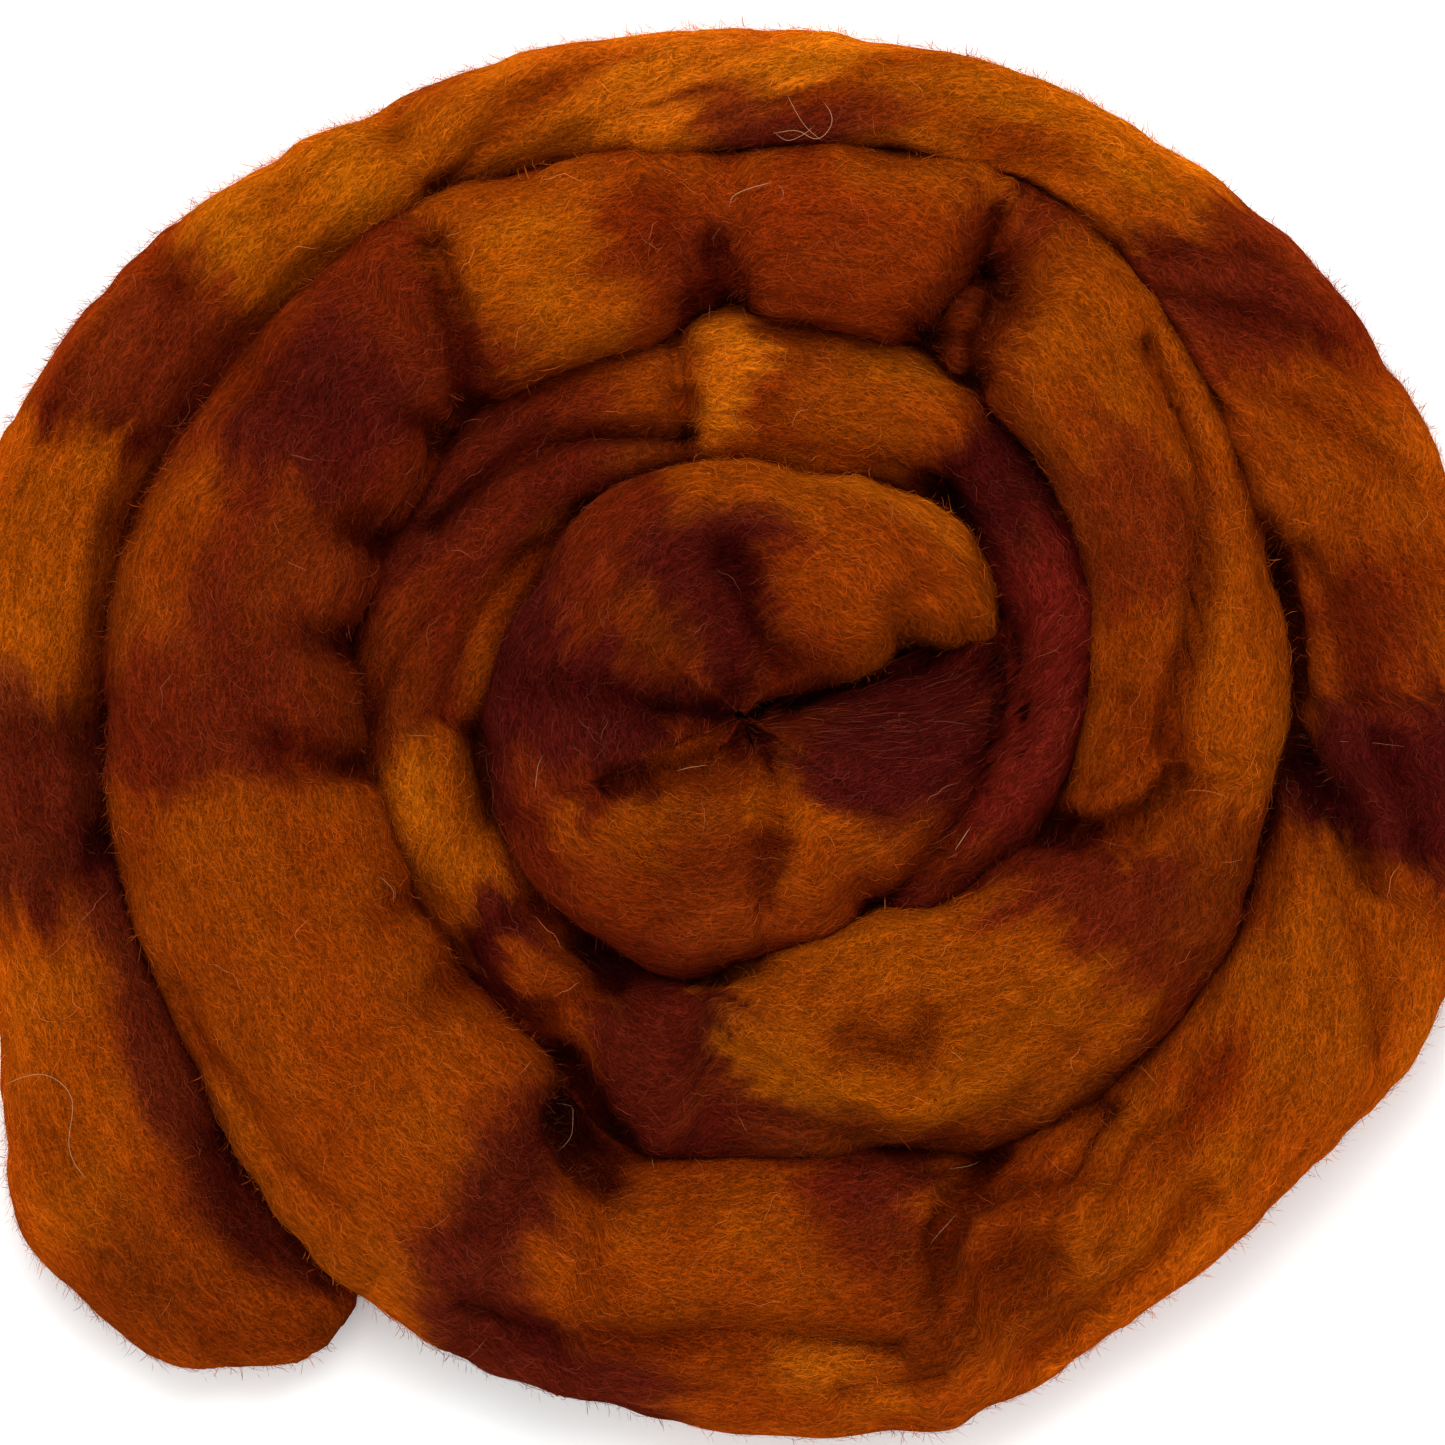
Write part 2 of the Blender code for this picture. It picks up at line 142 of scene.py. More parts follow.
FOLDS = (
    # ball
    Fold("hollow beside the inner end", 10, 3.6, ((94, 0.6), (90, 0.52), (85, 0.41), (72, 0.28), (43, 0.22))),
    Fold("gap under the inner end", 12, 4.0,
         ((376.7, 0.08), (378, 0.2), (378, 0.32), (378, 0.43), (378.5, 0.55))),
    Fold("dark corner under the tip", 5, 3.4, ((377, 0.5), (372.4, 0.50))),
    Fold("valley in the inner end", 5, 3.6, ((27, 0.61), (36, 0.65), (36, 0.76))),
    Fold("bulge of the inner end", -4, 12, ((34, 0.5), (44, 0.58))),
    Fold("dark band on the left", 7, 5.0,
         ((173.5, 0.85), (172, 0.70), (173, 0.46), (176, 0.31), (176, 0.14))),
    Fold("dark hole on the left", 6, 4, ((176, 0.33), (176, 0.28))),
    Fold("bump on the left", -5, 9, ((140, 0.52), (128, 0.5))),
    Fold("crease above the dome", 9, 3.0, ((208, 0.56), (215, 0.39), (232, 0.22), (262, 0.13), (300, 0.10))),
    Fold("dome", -3.5, 13, ((262, 0.5), (272, 0.35))),
    Fold("crease down the ball", 9, 2.6,
         ((302.6, 0.2), (293, 0.37), (285.2, 0.52), (280.2, 0.64), (277, 0.73))),
    Fold("soft pleat", 4, 4.5, ((226, 0.55), (238, 0.68), (250, 0.78))),
    Fold("edge of the ball on the right", 11, 3.0,
         ((304, 0.93), (312, 0.86), (320, 0.80), (331, 0.77), (342, 0.73), (354, 0.72), (365, 0.72),
          (376, 0.69))),
    # sunken first turn
    Fold("pit behind the ball", 13, 6.5, ((403, 0.0), (408, 0.16))),
    Fold("end of the golden bulge", 6, 2.2, ((459.6, 0.5), (459.6, 0.35), (460.1, 0.22))),
    Fold("top of that end", 2.5, 3.5, ((461, 0.54), (459, 0.95))),
    Fold("split between two thin strands", 8, 2.8,
         ((460.6, 0.22), (469.6, 0.35), (478.2, 0.47), (485.2, 0.54), (492.5, 0.60), (500.4, 0.68),
          (508, 0.8))),
    Fold("edge of the lower strand", 4, 3, ((487, 0.06), (494, 0.12), (505, 0.2), (520, 0.3), (540, 0.42))),
    Fold("pleat above it", 3, 3, ((515, 0.5), (530, 0.66), (541, 0.86))),
    Fold("pit on the left", 11, 4.5, ((545, 0.12), (553, 0.1), (560, 0.05))),
    Fold("furrow", 4, 4, ((583, 0.2), (582, 0.5), (581, 0.9))),
    Fold("second furrow", 5, 4, ((603, 0.3), (600, 0.5), (597, 0.8))),
    Fold("pit below it", 10, 5, ((598, 0.08), (604, 0.14))),
    Fold("pit at the edge", 8, 4, ((623, 0.02), (625, 0.08))),
    Fold("other side of the dark hollow", 15, 5, ((604, 0.97), (609, 0.95), (613.5, 0.98))),
    Fold("folded edge", -9, 3.8,
         ((626, 0.2), (634, 0.4), (640.3, 0.55), (644, 0.66), (648, 0.75), (652, 0.79), (655.3, 0.76),
          (659.3, 0.64), (664.5, 0.53), (674, 0.44))),
    Fold("step behind the folded edge", 4, 4,
         ((622, 0.42), (632, 0.66), (642, 0.86), (652, 0.96), (664, 0.88), (680, 0.72))),
    Fold("pocket under the folded edge", 6, 3.8,
         ((647.8, 0.46), (652.6, 0.57), (655.6, 0.60), (658.5, 0.53), (662, 0.43))),
    Fold("fold beside the ball", 13, 4.0, ((700, 0.0), (701.5, 0.25), (706, 0.4), (711, 0.5))),
    Fold("full edge beside the ball", -8, 5.0, ((640, 0.04), (655, 0.03), (670, 0.03), (688, 0.03))),
    Fold("long crease on the right", 9, 3.0,
         ((716, 0.42), (723.3, 0.45), (729.4, 0.52), (737.3, 0.61), (749, 0.72), (762, 0.8))),
    Fold("curl in the lobe", 4, 3, ((708, 0.12), (713, 0.3), (722, 0.2))),
    # high second turn
    Fold("deep fold at the upper right", 10, 3.4,
         ((782.8, 0.78), (782.4, 0.68), (781.7, 0.58), (780.6, 0.52))),
    Fold("its left branch", 11, 3.2, ((781.6, 0.52), (783.2, 0.37), (783.7, 0.24), (783.9, 0.13))),
    Fold("pit at its foot", 13, 4.4, ((783.9, 0.12), (783.7, 0.04))),
    Fold("its right branch", 11, 3.6,
         ((780.8, 0.54), (778.3, 0.46), (777.7, 0.33), (777, 0.2), (774.9, 0.07))),
    Fold("spur of that branch", 7, 3.6, ((778.4, 0.45), (776.2, 0.47))),
    Fold("low piece between them", 4, 8, ((781.8, 0.38), (780.5, 0.19))),
    Fold("pinch at the top", 11, 3.0, ((811, 0.08), (811.6, 0.2), (812.3, 0.33), (812.7, 0.42))),
    Fold("foot of that pinch", 13, 5.0, ((812.2, 0.06), (814, 0.13), (815.7, 0.1))),
    Fold("crease beside the pinch", 4, 3.6, ((819, 0.3), (821, 0.5), (819, 0.78))),
    Fold("bent crease", 11, 4.2, ((851, 0.04), (848, 0.3), (845, 0.5), (843, 0.8))),
    Fold("dark pleat", 4, 5, ((864, 0.5), (866, 0.92))),
    Fold("pinch", 8, 4.5, ((857, 0.0), (858, 0.2))),
    Fold("pinch at the upper left", 11, 5, ((874, -0.02), (875, 0.18))),
    Fold("pinch at the left", 8, 4.5, ((890, -0.02), (890, 0.18))),
    Fold("lower pinch at the left", 8, 4.5, ((908, -0.02), (907, 0.2), (904, 0.32))),
    Fold("small pinch", 6, 4.5, ((930, 0.0), (929, 0.14))),
    Fold("second small pinch", 7, 5, ((944, -0.02), (943, 0.14))),
    Fold("split rim", 4, 3.0, ((926, 0.93), (934, 0.91), (940, 0.87), (945, 0.84), (951, 0.80))),
    Fold("dark hollow at the lower left", 20, 6.0, ((967.5, 0.02), (970, 0.06), (972.5, 0.06))),
    Fold("crease above the hollow", 4, 4, ((965, 0.25), (963, 0.6))),
    Fold("line under the light rim", 6, 2.8,
         ((964.5, 0.81), (970, 0.76), (974, 0.75), (981, 0.69), (988, 0.65), (995.5, 0.65), (1004, 0.67))),
    Fold("line over the bottom lip", 5, 3.0, ((998.4, 0.83), (1003.4, 0.82), (1007, 0.82))),
    Fold("low rim under that line", 4, 7, ((968, 0.9), (976, 0.88), (983, 0.86))),
    Fold("fold across the bottom", 12, 4.2,
         ((1020, 0.02), (1017, 0.1), (1013.5, 0.22), (1010.6, 0.38), (1009.6, 0.5))),
    Fold("curved lump", -5, 4.5, ((1010, 0.46), (1014.5, 0.31), (1018.3, 0.28), (1023, 0.36))),
    Fold("crease over the curved lump", 8, 3.2,
         ((1016.8, 0.23), (1019.5, 0.22), (1024, 0.31), (1026, 0.30), (1028.7, 0.21), (1033, 0.08))),
    Fold("hollow under the curved lump", 7, 5, ((1016.4, 0.51), (1019.5, 0.53))),
    Fold("second hollow under it", 5, 4.5, ((1014.3, 0.60), (1016.7, 0.66))),
    Fold("furrow past the lump", 5, 3.4, ((1034.7, 0.30), (1030.8, 0.37), (1027, 0.45))),
    Fold("second furrow past the lump", 5, 3.4, ((1044, 0.27), (1038.7, 0.36), (1031.7, 0.47), (1024, 0.64))),
    Fold("third furrow past the lump", 4, 3.4, ((1052, 0.85), (1061, 0.5), (1068, 0.15))),
    Fold("line along the lower rim", 6, 3.4,
         ((1034, 0.72), (1029, 0.80), (1024, 0.85), (1018, 0.90), (1014.4, 0.93))),
    Fold("dark fold at the right", 13, 3.8,
         ((1077, 0.03), (1072.5, 0.17), (1071.4, 0.29), (1067.5, 0.39), (1065.2, 0.48))),
    Fold("second fold at the right", 6, 3.2, ((1078, 0.44), (1072.7, 0.57), (1067.9, 0.68))),
    Fold("line above the orange lobe", 7, 3.6, ((1082, 0.36), (1090, 0.3), (1096, 0.2))),
    Fold("dark gap above it", 15, 4.4, ((1082.6, 0.0), (1089.8, 0.02), (1094.8, 0.03), (1099, 0.03))),
    # outer turn
    Fold("furrow at the upper right", 4, 3.8, ((1096, 0.95), (1106, 0.55), (1114, 0.12))),
    Fold("deeper furrow beside it", 5, 3.8, ((1108, 0.92), (1117, 0.5), (1125, 0.06))),
    Fold("third furrow at the upper right", 4, 3.6, ((1120, 0.9), (1125, 0.5), (1130, 0.08))),
    Fold("fourth furrow at the upper right", 3, 3.8, ((1131, 0.8), (1140, 0.35), (1146, 0.06))),
    Fold("hollow at the top", 3, 6, ((1161, 0.1), (1166, 0.08))),
    Fold("full inner edge at the top", -13, 7,
         ((1100, 0.05), (1112, 0.06), (1135, 0.07), (1155, 0.06), (1178, 0.08))),
    Fold("furrow at the upper left", 6, 3.8, ((1180, 0.85), (1190, 0.52), (1200, 0.1))),
    Fold("second furrow at the upper left", 3, 3.8, ((1168, 0.92), (1177, 0.6), (1186, 0.2))),
    Fold("crease at the left", 6, 3.6, ((1200, 0.92), (1201, 0.66))),
    Fold("second crease at the left", 6, 3.8, ((1222, 0.94), (1223, 0.62))),
    Fold("edge of the burgundy patch", 4, 4, ((1236, 0.2), (1237, 0.92))),
    Fold("crease in the burgundy", 4, 5, ((1262, 0.1), (1262, 0.9))),
    Fold("hollow beside the coil", 6, 5, ((1271, 0.05), (1274, 0.3))),
    Fold("hollow in the tail", 8, 8, ((1300, 0.05), (1308, 0.3))),
)


class Dye(Enum):
    """Dyes in the wool, as linear red, green and blue, and a near-black painted shade that is laid into pits
    like a dye.
    """

    STRAW = (0.42, 0.088, 0.0021)
    GOLD = (0.336, 0.0688, 0.0012)
    ORANGE = (0.27, 0.0465, 0.00104)
    AMBER = (0.205, 0.029, 0.00104)
    BRICK = (0.18, 0.0195, 0.0012)
    BROWN = (0.12, 0.0160, 0.00115)
    RUST = (0.122, 0.0118, 0.00175)
    CRIMSON = (0.108, 0.0075, 0.0036)
    BURGUNDY = (0.056, 0.0043, 0.0027)
    # painted shade: a near-black laid like a dye into the pits and hollows
    PAINTED_SHADE = (0.032, 0.0023, 0.0016)
    PALE = (0.62, 0.33, 0.16)


@dataclass(frozen=True)
class Patch:
    """A patch of one dye on the strand, between two winding angles and two shares across it.

    The patch leans: its middle moves by slant degrees from the inner to the outer edge of the strand.
    """

    dye: Dye
    start: float
    end: float
    strength: float = 1.0
    inner: float = -0.4
    outer: float = 1.4
    slant: float = 0.0


PATCHES = (
    # ball
    Patch(Dye.RUST, 0, 384),
    Patch(Dye.BURGUNDY, 76, 128, 0.85, -0.4, 0.8),
    Patch(Dye.AMBER, 0, 72, 1, 0.3),
    Patch(Dye.GOLD, 10, 34, 0.3, 0.78),
    Patch(Dye.ORANGE, 68, 106, 1, 0.76),
    # painted light: pale dye along the ball's outer edge that offsets the shade of the groove beside it
    Patch(Dye.STRAW, 40, 100, 0.7, 0.92),
    Patch(Dye.BROWN, 120, 150, 0.8, 0.3, 0.66),
    Patch(Dye.AMBER, 128, 146, 0.2, 0.24, 0.42),
    Patch(Dye.BURGUNDY, 154, 200, 0.95),
    Patch(Dye.BURGUNDY, 140, 214, 0.7, 0.84),
    Patch(Dye.RUST, 193, 214, 0.9, 0.5, 0.94),
    Patch(Dye.BROWN, 198, 214, 0.7, 0.24, 0.42),
    Patch(Dye.AMBER, 213, 292, 1, 0.16),
    Patch(Dye.BROWN, 228, 290, 0.6, 0.2, 0.7),
    Patch(Dye.ORANGE, 211, 232, 0.8, 0.44, 0.66),
    Patch(Dye.RUST, 238, 284, 0.5, 0.5, 0.84),
    Patch(Dye.RUST, 205, 290, 1, 0.82),
    Patch(Dye.ORANGE, 287, 322, 1, 0.2, 0.7),
    Patch(Dye.BROWN, 316, 380, 0.9, 0.08, 0.28),
    Patch(Dye.BURGUNDY, 332, 380, 0.5, 0.06, 0.3),
    Patch(Dye.BURGUNDY, 321, 386, 1, 0.16, 0.72, -30),
    Patch(Dye.AMBER, 292, 333, 1, 0.66, 0.9),
    Patch(Dye.CRIMSON, 336, 393, 1, 0.73),
    Patch(Dye.RUST, 304, 334, 0.9, 0.84),
    Patch(Dye.BURGUNDY, 306, 340, 0.6, 0.88),
    # painted shade in the pit round the axis
    Patch(Dye.PAINTED_SHADE, 0, 386, 0.25, -0.4, 0.12),
    # sunken first turn
    Patch(Dye.CRIMSON, 380, 393),
    Patch(Dye.BURGUNDY, 391, 413),
    Patch(Dye.AMBER, 411, 462),
    # painted light: pale dye along the inner edge that offsets the shade of the groove over the ball
    Patch(Dye.STRAW, 414, 450, 0.8, -0.4, 0.1),
    Patch(Dye.ORANGE, 415, 438, 0.4, 0.2),
    Patch(Dye.GOLD, 418, 434, 0.5, 0.66, 1.1),
    Patch(Dye.BRICK, 441, 449, 0.8, -0.4, 0.75),
    Patch(Dye.STRAW, 449, 460.5),
    Patch(Dye.RUST, 468, 548, 1, -0.4, 1.4, 30),
    Patch(Dye.BURGUNDY, 470, 520, 0.45, -0.4, 0.5, 20),
    Patch(Dye.AMBER, 460, 474, 0.8, 0.4, 1.4, 4),
    Patch(Dye.BROWN, 460, 478, 0.9, -0.4, 0.34),
    Patch(Dye.BURGUNDY, 477, 512, 0.6, 0.6, 1.4, 26),
    Patch(Dye.AMBER, 500, 550, 1, -0.4, 0.26, 16),
    Patch(Dye.BROWN, 522, 550, 0.7, 0.5, 1.4, 10),
    Patch(Dye.ORANGE, 543, 582, 0.85, 0.1, 1.4, 10),
    Patch(Dye.STRAW, 549, 571, 0.3, 0.45, 0.95),
    Patch(Dye.ORANGE, 562, 580, 0.8, -0.1, 0.4),
    Patch(Dye.RUST, 579, 626),
    Patch(Dye.BURGUNDY, 578, 588, 0.85, 0.3),
    Patch(Dye.AMBER, 590.5, 606, 0.95, 0.08, 0.86),
    Patch(Dye.BURGUNDY, 605, 642, 0.7, -0.4, 1.4, 16),
    Patch(Dye.ORANGE, 633, 688, 0.9, -0.4, 0.62, 28),
    Patch(Dye.ORANGE, 634.5, 676, 1, 0.4, 0.86, 46),
    Patch(Dye.AMBER, 645, 660, 0.7, 0.1, 0.5, 20),
    Patch(Dye.GOLD, 633, 642, 0.6, 0.3, 0.8, 46),
    Patch(Dye.BROWN, 645, 659, 0.4, 0.42, 0.56),
    Patch(Dye.GOLD, 640, 664, 0.6, 0.62, 0.82),
    Patch(Dye.BROWN, 640, 692, 1, 0.84),
    Patch(Dye.RUST, 685, 703),
    Patch(Dye.BURGUNDY, 687, 702, 0.35, -0.4, 0.72),
    Patch(Dye.AMBER, 702, 760),
    Patch(Dye.BROWN, 690, 712, 0.7, 0.6, 1.0),
    Patch(Dye.ORANGE, 711, 740, 0.9, 0.52),
    Patch(Dye.RUST, 734, 760, 0.9, 0.04, 0.64),
    # high second turn
    Patch(Dye.AMBER, 738, 762, 0.8, 0.76),
    Patch(Dye.ORANGE, 766, 775, 0.5, 0.1, 0.6),
    Patch(Dye.BROWN, 755, 769, 0.7, -0.4, 0.14),
    Patch(Dye.ORANGE, 748, 775, 0.9, 0.56),
    Patch(Dye.RUST, 775.5, 787, 1, -0.4, 1.4, 6),
    Patch(Dye.BROWN, 775, 784, 0.8, -0.4, 0.5),
    Patch(Dye.BROWN, 772, 779, 0.5, 0.5, 0.85),
    Patch(Dye.BRICK, 785, 812),
    Patch(Dye.ORANGE, 785, 801, 0.8, 0.74),
    Patch(Dye.RUST, 795, 811, 0.4, 0.2, 0.6),
    Patch(Dye.BRICK, 808, 846, 1, -0.4, 0.96),
    Patch(Dye.ORANGE, 826, 846, 0.85, -0.3, 0.96),
    Patch(Dye.BRICK, 808, 824, 0.8, -0.4, 0.66),
    Patch(Dye.ORANGE, 808, 846, 0.5, 0.86),
    Patch(Dye.RUST, 811, 821, 0.85, -0.4, 0.6),
    Patch(Dye.GOLD, 826, 843, 0.6, 0.4, 0.78),
    Patch(Dye.RUST, 844, 912),
    Patch(Dye.BURGUNDY, 874, 906, 0.25, 0.1, 0.7),
    Patch(Dye.BURGUNDY, 854, 872, 0.85, 0.3, 0.84),
    Patch(Dye.BRICK, 846, 876, 0.7, 0.86, 1.2),
    Patch(Dye.BURGUNDY, 842, 866, 0.1),
    Patch(Dye.AMBER, 876, 895, 1, 0.66),
    Patch(Dye.AMBER, 871, 888, 0.3, 0.04, 0.5),
    Patch(Dye.BURGUNDY, 888, 904, 0.15, 0.3, 1.0),
    Patch(Dye.BROWN, 890, 907, 0.6, -0.4, 0.22),
    Patch(Dye.AMBER, 907, 958),
    Patch(Dye.ORANGE, 912, 955, 0.3, 0.0, 0.84),
    Patch(Dye.GOLD, 934, 964, 0.3, 0.84, 1.1),
    Patch(Dye.BURGUNDY, 960, 976, 0.85, -0.4, 0.84, -2),
    Patch(Dye.AMBER, 971, 1004, 1, -0.1, 1.4, 6),
    # painted shade in the dark hollow at the lower left
    Patch(Dye.PAINTED_SHADE, 966, 973, 0.8, -0.4, 0.1),
    Patch(Dye.BURGUNDY, 962, 985, 0.9, 0.76, 1.3),
    Patch(Dye.ORANGE, 976, 998, 0.4, 0.1, 0.5),
    Patch(Dye.STRAW, 992, 1004, 0.6, 0.7, 0.86),
    Patch(Dye.BROWN, 982, 1008, 0.2, 0.88),
    Patch(Dye.RUST, 997, 1012, 0.85, -0.4, 0.42),
    Patch(Dye.BURGUNDY, 1001, 1014, 0.6, -0.4, 0.3),
    Patch(Dye.BROWN, 1004, 1012, 0.9, 0.3, 0.8),
    Patch(Dye.AMBER, 1011, 1068, 1, -0.4, 1.4, -6),
    Patch(Dye.BRICK, 1010, 1017, 0.8, 0.28, 0.5),
    Patch(Dye.ORANGE, 1022, 1066, 0.8, 0.1, 1.4, -14),
    Patch(Dye.BRICK, 1034, 1044, 0.8, 0.1, 0.5, -10),
    Patch(Dye.BROWN, 1012, 1020, 0.6, 0.46, 0.9),
    Patch(Dye.ORANGE, 1012, 1026, 0.4, 0.88, 1.2),
    Patch(Dye.BURGUNDY, 1067.5, 1083, 1, 0.1),
    Patch(Dye.BURGUNDY, 1068, 1078, 0.8, -0.4, 0.3),
    Patch(Dye.RUST, 1080, 1097, 0.8, -0.4, 0.6, -8),
    Patch(Dye.AMBER, 1081, 1090, 0.9, 0.03, 0.26),
    # outer turn
    Patch(Dye.AMBER, 1091, 1113, 1, -0.4, 1.4, -10),
    Patch(Dye.ORANGE, 1098, 1110, 0.4, 0.5, 1.4, -16),
    Patch(Dye.RUST, 1112, 1131, 0.95, -0.4, 1.2, -8),
    Patch(Dye.BURGUNDY, 1115, 1127, 0.5, -0.2, 0.8, -13),
    Patch(Dye.ORANGE, 1129, 1160, 0.8, -0.4, 1.4, -4),
    Patch(Dye.GOLD, 1133, 1152, 0.8, 0.5, 1.4, -6),
    Patch(Dye.BRICK, 1140, 1145, 0.5, 0.1, 0.6, -6),
    Patch(Dye.STRAW, 1164, 1200, 0.9, -0.4, 1.4, -16),
    Patch(Dye.ORANGE, 1186, 1203, 0.5, -0.4, 1.4, -16),
    Patch(Dye.RUST, 1155, 1175, 0.9, 0.02, 0.46),
    Patch(Dye.BURGUNDY, 1160, 1171, 0.7, -0.4, 0.3),
    Patch(Dye.GOLD, 1199, 1222, 0.8, -0.4, 1.4, -4),
    Patch(Dye.RUST, 1219, 1237, 0.85),
    Patch(Dye.BRICK, 1217, 1237, 0.8, 0.88),
    Patch(Dye.BURGUNDY, 1223, 1236, 0.3, -0.4, 0.85),
    Patch(Dye.ORANGE, 1236, 1262, 1, 0.1),
    Patch(Dye.BROWN, 1237, 1260, 0.6, -0.4, 0.2),
    Patch(Dye.BURGUNDY, 1258.5, 1277, 0.8, -0.4, 1.4, -4),
    Patch(Dye.AMBER, 1276, 1322),
    Patch(Dye.ORANGE, 1278, 1298, 0.75, 0.35, 1.0),
    Patch(Dye.BURGUNDY, 1270, 1313, 0.8, -0.4, 0.3),
    Patch(Dye.BROWN, 1298, 1322, 0.5, 0.5),
)


class Curve:
    """A smooth curve through one column of a table. It never overshoots the rows."""

    def __init__(self, rows: tuple[tuple[float, ...], ...], column: int = 1) -> None:
        """Fit the curve.

        Args:
            rows: table rows, each starting with a winding angle.
            column: which number of a row the curve follows.
        """
        self.angles = np.array([row[0] for row in rows], dtype=float)
        self.values = np.array([row[column] for row in rows], dtype=float)
        steps = np.diff(self.values) / np.diff(self.angles)
        before, after = steps[:-1], steps[1:]
        same_way = before * after > 0.0
        total = np.where(same_way, before + after, 1.0)
        self.slopes = np.zeros(len(rows))
        self.slopes[1:-1] = np.where(same_way, 2.0 * before * after / total, 0.0)

    def at(self, angles: np.ndarray) -> np.ndarray:
        """Read the curve.

        Args:
            angles: winding angles of any shape.

        Returns:
            The curve's values there, held constant past both ends.
        """
        angles = np.clip(angles, self.angles[0], self.angles[-1])
        row = np.clip(np.searchsorted(self.angles, angles, side="right") - 1, 0, len(self.angles) - 2)
        span = self.angles[row + 1] - self.angles[row]
        share = (angles - self.angles[row]) / span
        square, cube = share ** 2, share ** 3
        return (
            (2 * cube - 3 * square + 1) * self.values[row]
            + (cube - 2 * square + share) * span * self.slopes[row]
            + (3 * square - 2 * cube) * self.values[row + 1]
            + (cube - square) * span * self.slopes[row + 1]
        )


class Noise:
    """Smooth seeded noise from -1 to 1."""

    CELLS = 8192
    MIXERS = (73856093, 19349663, 83492791)

    def __init__(self, seed: int) -> None:
        """Fill the lattice from a seed."""
        self.lattice = np.random.default_rng(seed).uniform(-1.0, 1.0, self.CELLS)

    def at(self, *places: np.ndarray) -> np.ndarray:
        """Read the noise.

        Args:
            places: one array for each of up to three coordinates, in noise cells.

        Returns:
            The noise there, in the arrays' shape.
        """
        cells = [np.floor(place).astype(np.int64) for place in places]
        shares = [place - cell for place, cell in zip(places, cells)]
        fades = [share * share * (3.0 - 2.0 * share) for share in shares]
        total = np.zeros(np.shape(places[0]))
        for corner in product((0, 1), repeat=len(places)):
            key = np.zeros(total.shape, dtype=np.int64)
            weight = np.ones(total.shape)
            for step, cell, fade, mixer in zip(corner, cells, fades, self.MIXERS):
                key ^= (cell + step) * mixer
                weight *= fade if step else 1.0 - fade
            total += weight * self.lattice[(key ^ (key >> 13)) % self.CELLS]
        return total


def smooth_step(low: float, high: float, values: np.ndarray) -> np.ndarray:
    """Rise smoothly from 0 at low to 1 at high."""
    share = np.clip((values - low) / (high - low), 0.0, 1.0)
    return share * share * (3.0 - 2.0 * share)


def rounded(values: np.ndarray) -> np.ndarray:
    """Sine or cosine of a point of the rounded section, as a share from 0 to 1."""
    return 0.5 + 0.5 * np.sign(values) * np.abs(values) ** (2.0 / FULLNESS)


def blunt_end(run: np.ndarray, least: float) -> np.ndarray:
    """Size of the strand near an end of it: it swells round from the least, at a run of 0, to 1."""
    run = np.clip(run, 0.0, 1.0)
    return least + (1.0 - least) * np.sqrt(1.0 - (1.0 - run) ** 2)


def running_mean(values: np.ndarray, count: int) -> np.ndarray:
    """Mean of each value and its neighbours, an odd count in all. The end values go on past the ends."""
    return np.convolve(np.pad(values, count // 2, mode="edge"), np.full(count, 1.0 / count), mode="valid")


def unit(vectors: np.ndarray) -> np.ndarray:
    """The vectors, each at a length of 1."""
    return vectors / np.maximum(np.linalg.norm(vectors, axis=-1, keepdims=True), TINY)


def line_distance(spots: np.ndarray, corners: list[np.ndarray]) -> np.ndarray:
    """Measure how far spots are from a line.

    Args:
        spots: places in plan.
        corners: the line's corners in order.

    Returns:
        The distance of each spot from the nearest stretch of the line.
    """
    nearest = np.full(spots.shape[:2], np.inf)
    for start, end in zip(corners, corners[1:]):
        along = end - start
        step = np.clip((spots - start) @ along / (along @ along), 0.0, 1.0)
        off = spots - start - step[..., None] * along
        nearest = np.minimum(nearest, np.linalg.norm(off, axis=-1))
    return nearest


def read_grid(grid: np.ndarray, row: np.ndarray, column: np.ndarray) -> np.ndarray:
    """Read a grid between its points.

    Args:
        grid: values at whole rows and columns.
        row: fractional rows.
        column: fractional columns.

    Returns:
        The blended values.
    """
    row = np.clip(row, 0.0, grid.shape[0] - 1.001)
    column = np.clip(column, 0.0, grid.shape[1] - 1.001)
    low, left = row.astype(int), column.astype(int)
    down, over = (row - low)[..., None], (column - left)[..., None]
    upper = grid[low, left] * (1 - over) + grid[low, left + 1] * over
    lower = grid[low + 1, left] * (1 - over) + grid[low + 1, left + 1] * over
    return upper * (1 - down) + lower * down


@dataclass(frozen=True)
class NoiseLayer:
    """One layer of noise on the wool.

    Attributes:
        seed: picks its pattern.
        cells: size of its cells along each coordinate, in millimetres.
        weight: how strong it is.
    """

    seed: int
    cells: tuple[float, ...]
    weight: float = 1.0

    def at(self, *places: np.ndarray) -> np.ndarray:
        """Strength of the layer at places in millimetres."""
        scaled = [place / cell for place, cell in zip(places, self.cells)]
        return Noise(self.seed).at(*scaled) * self.weight


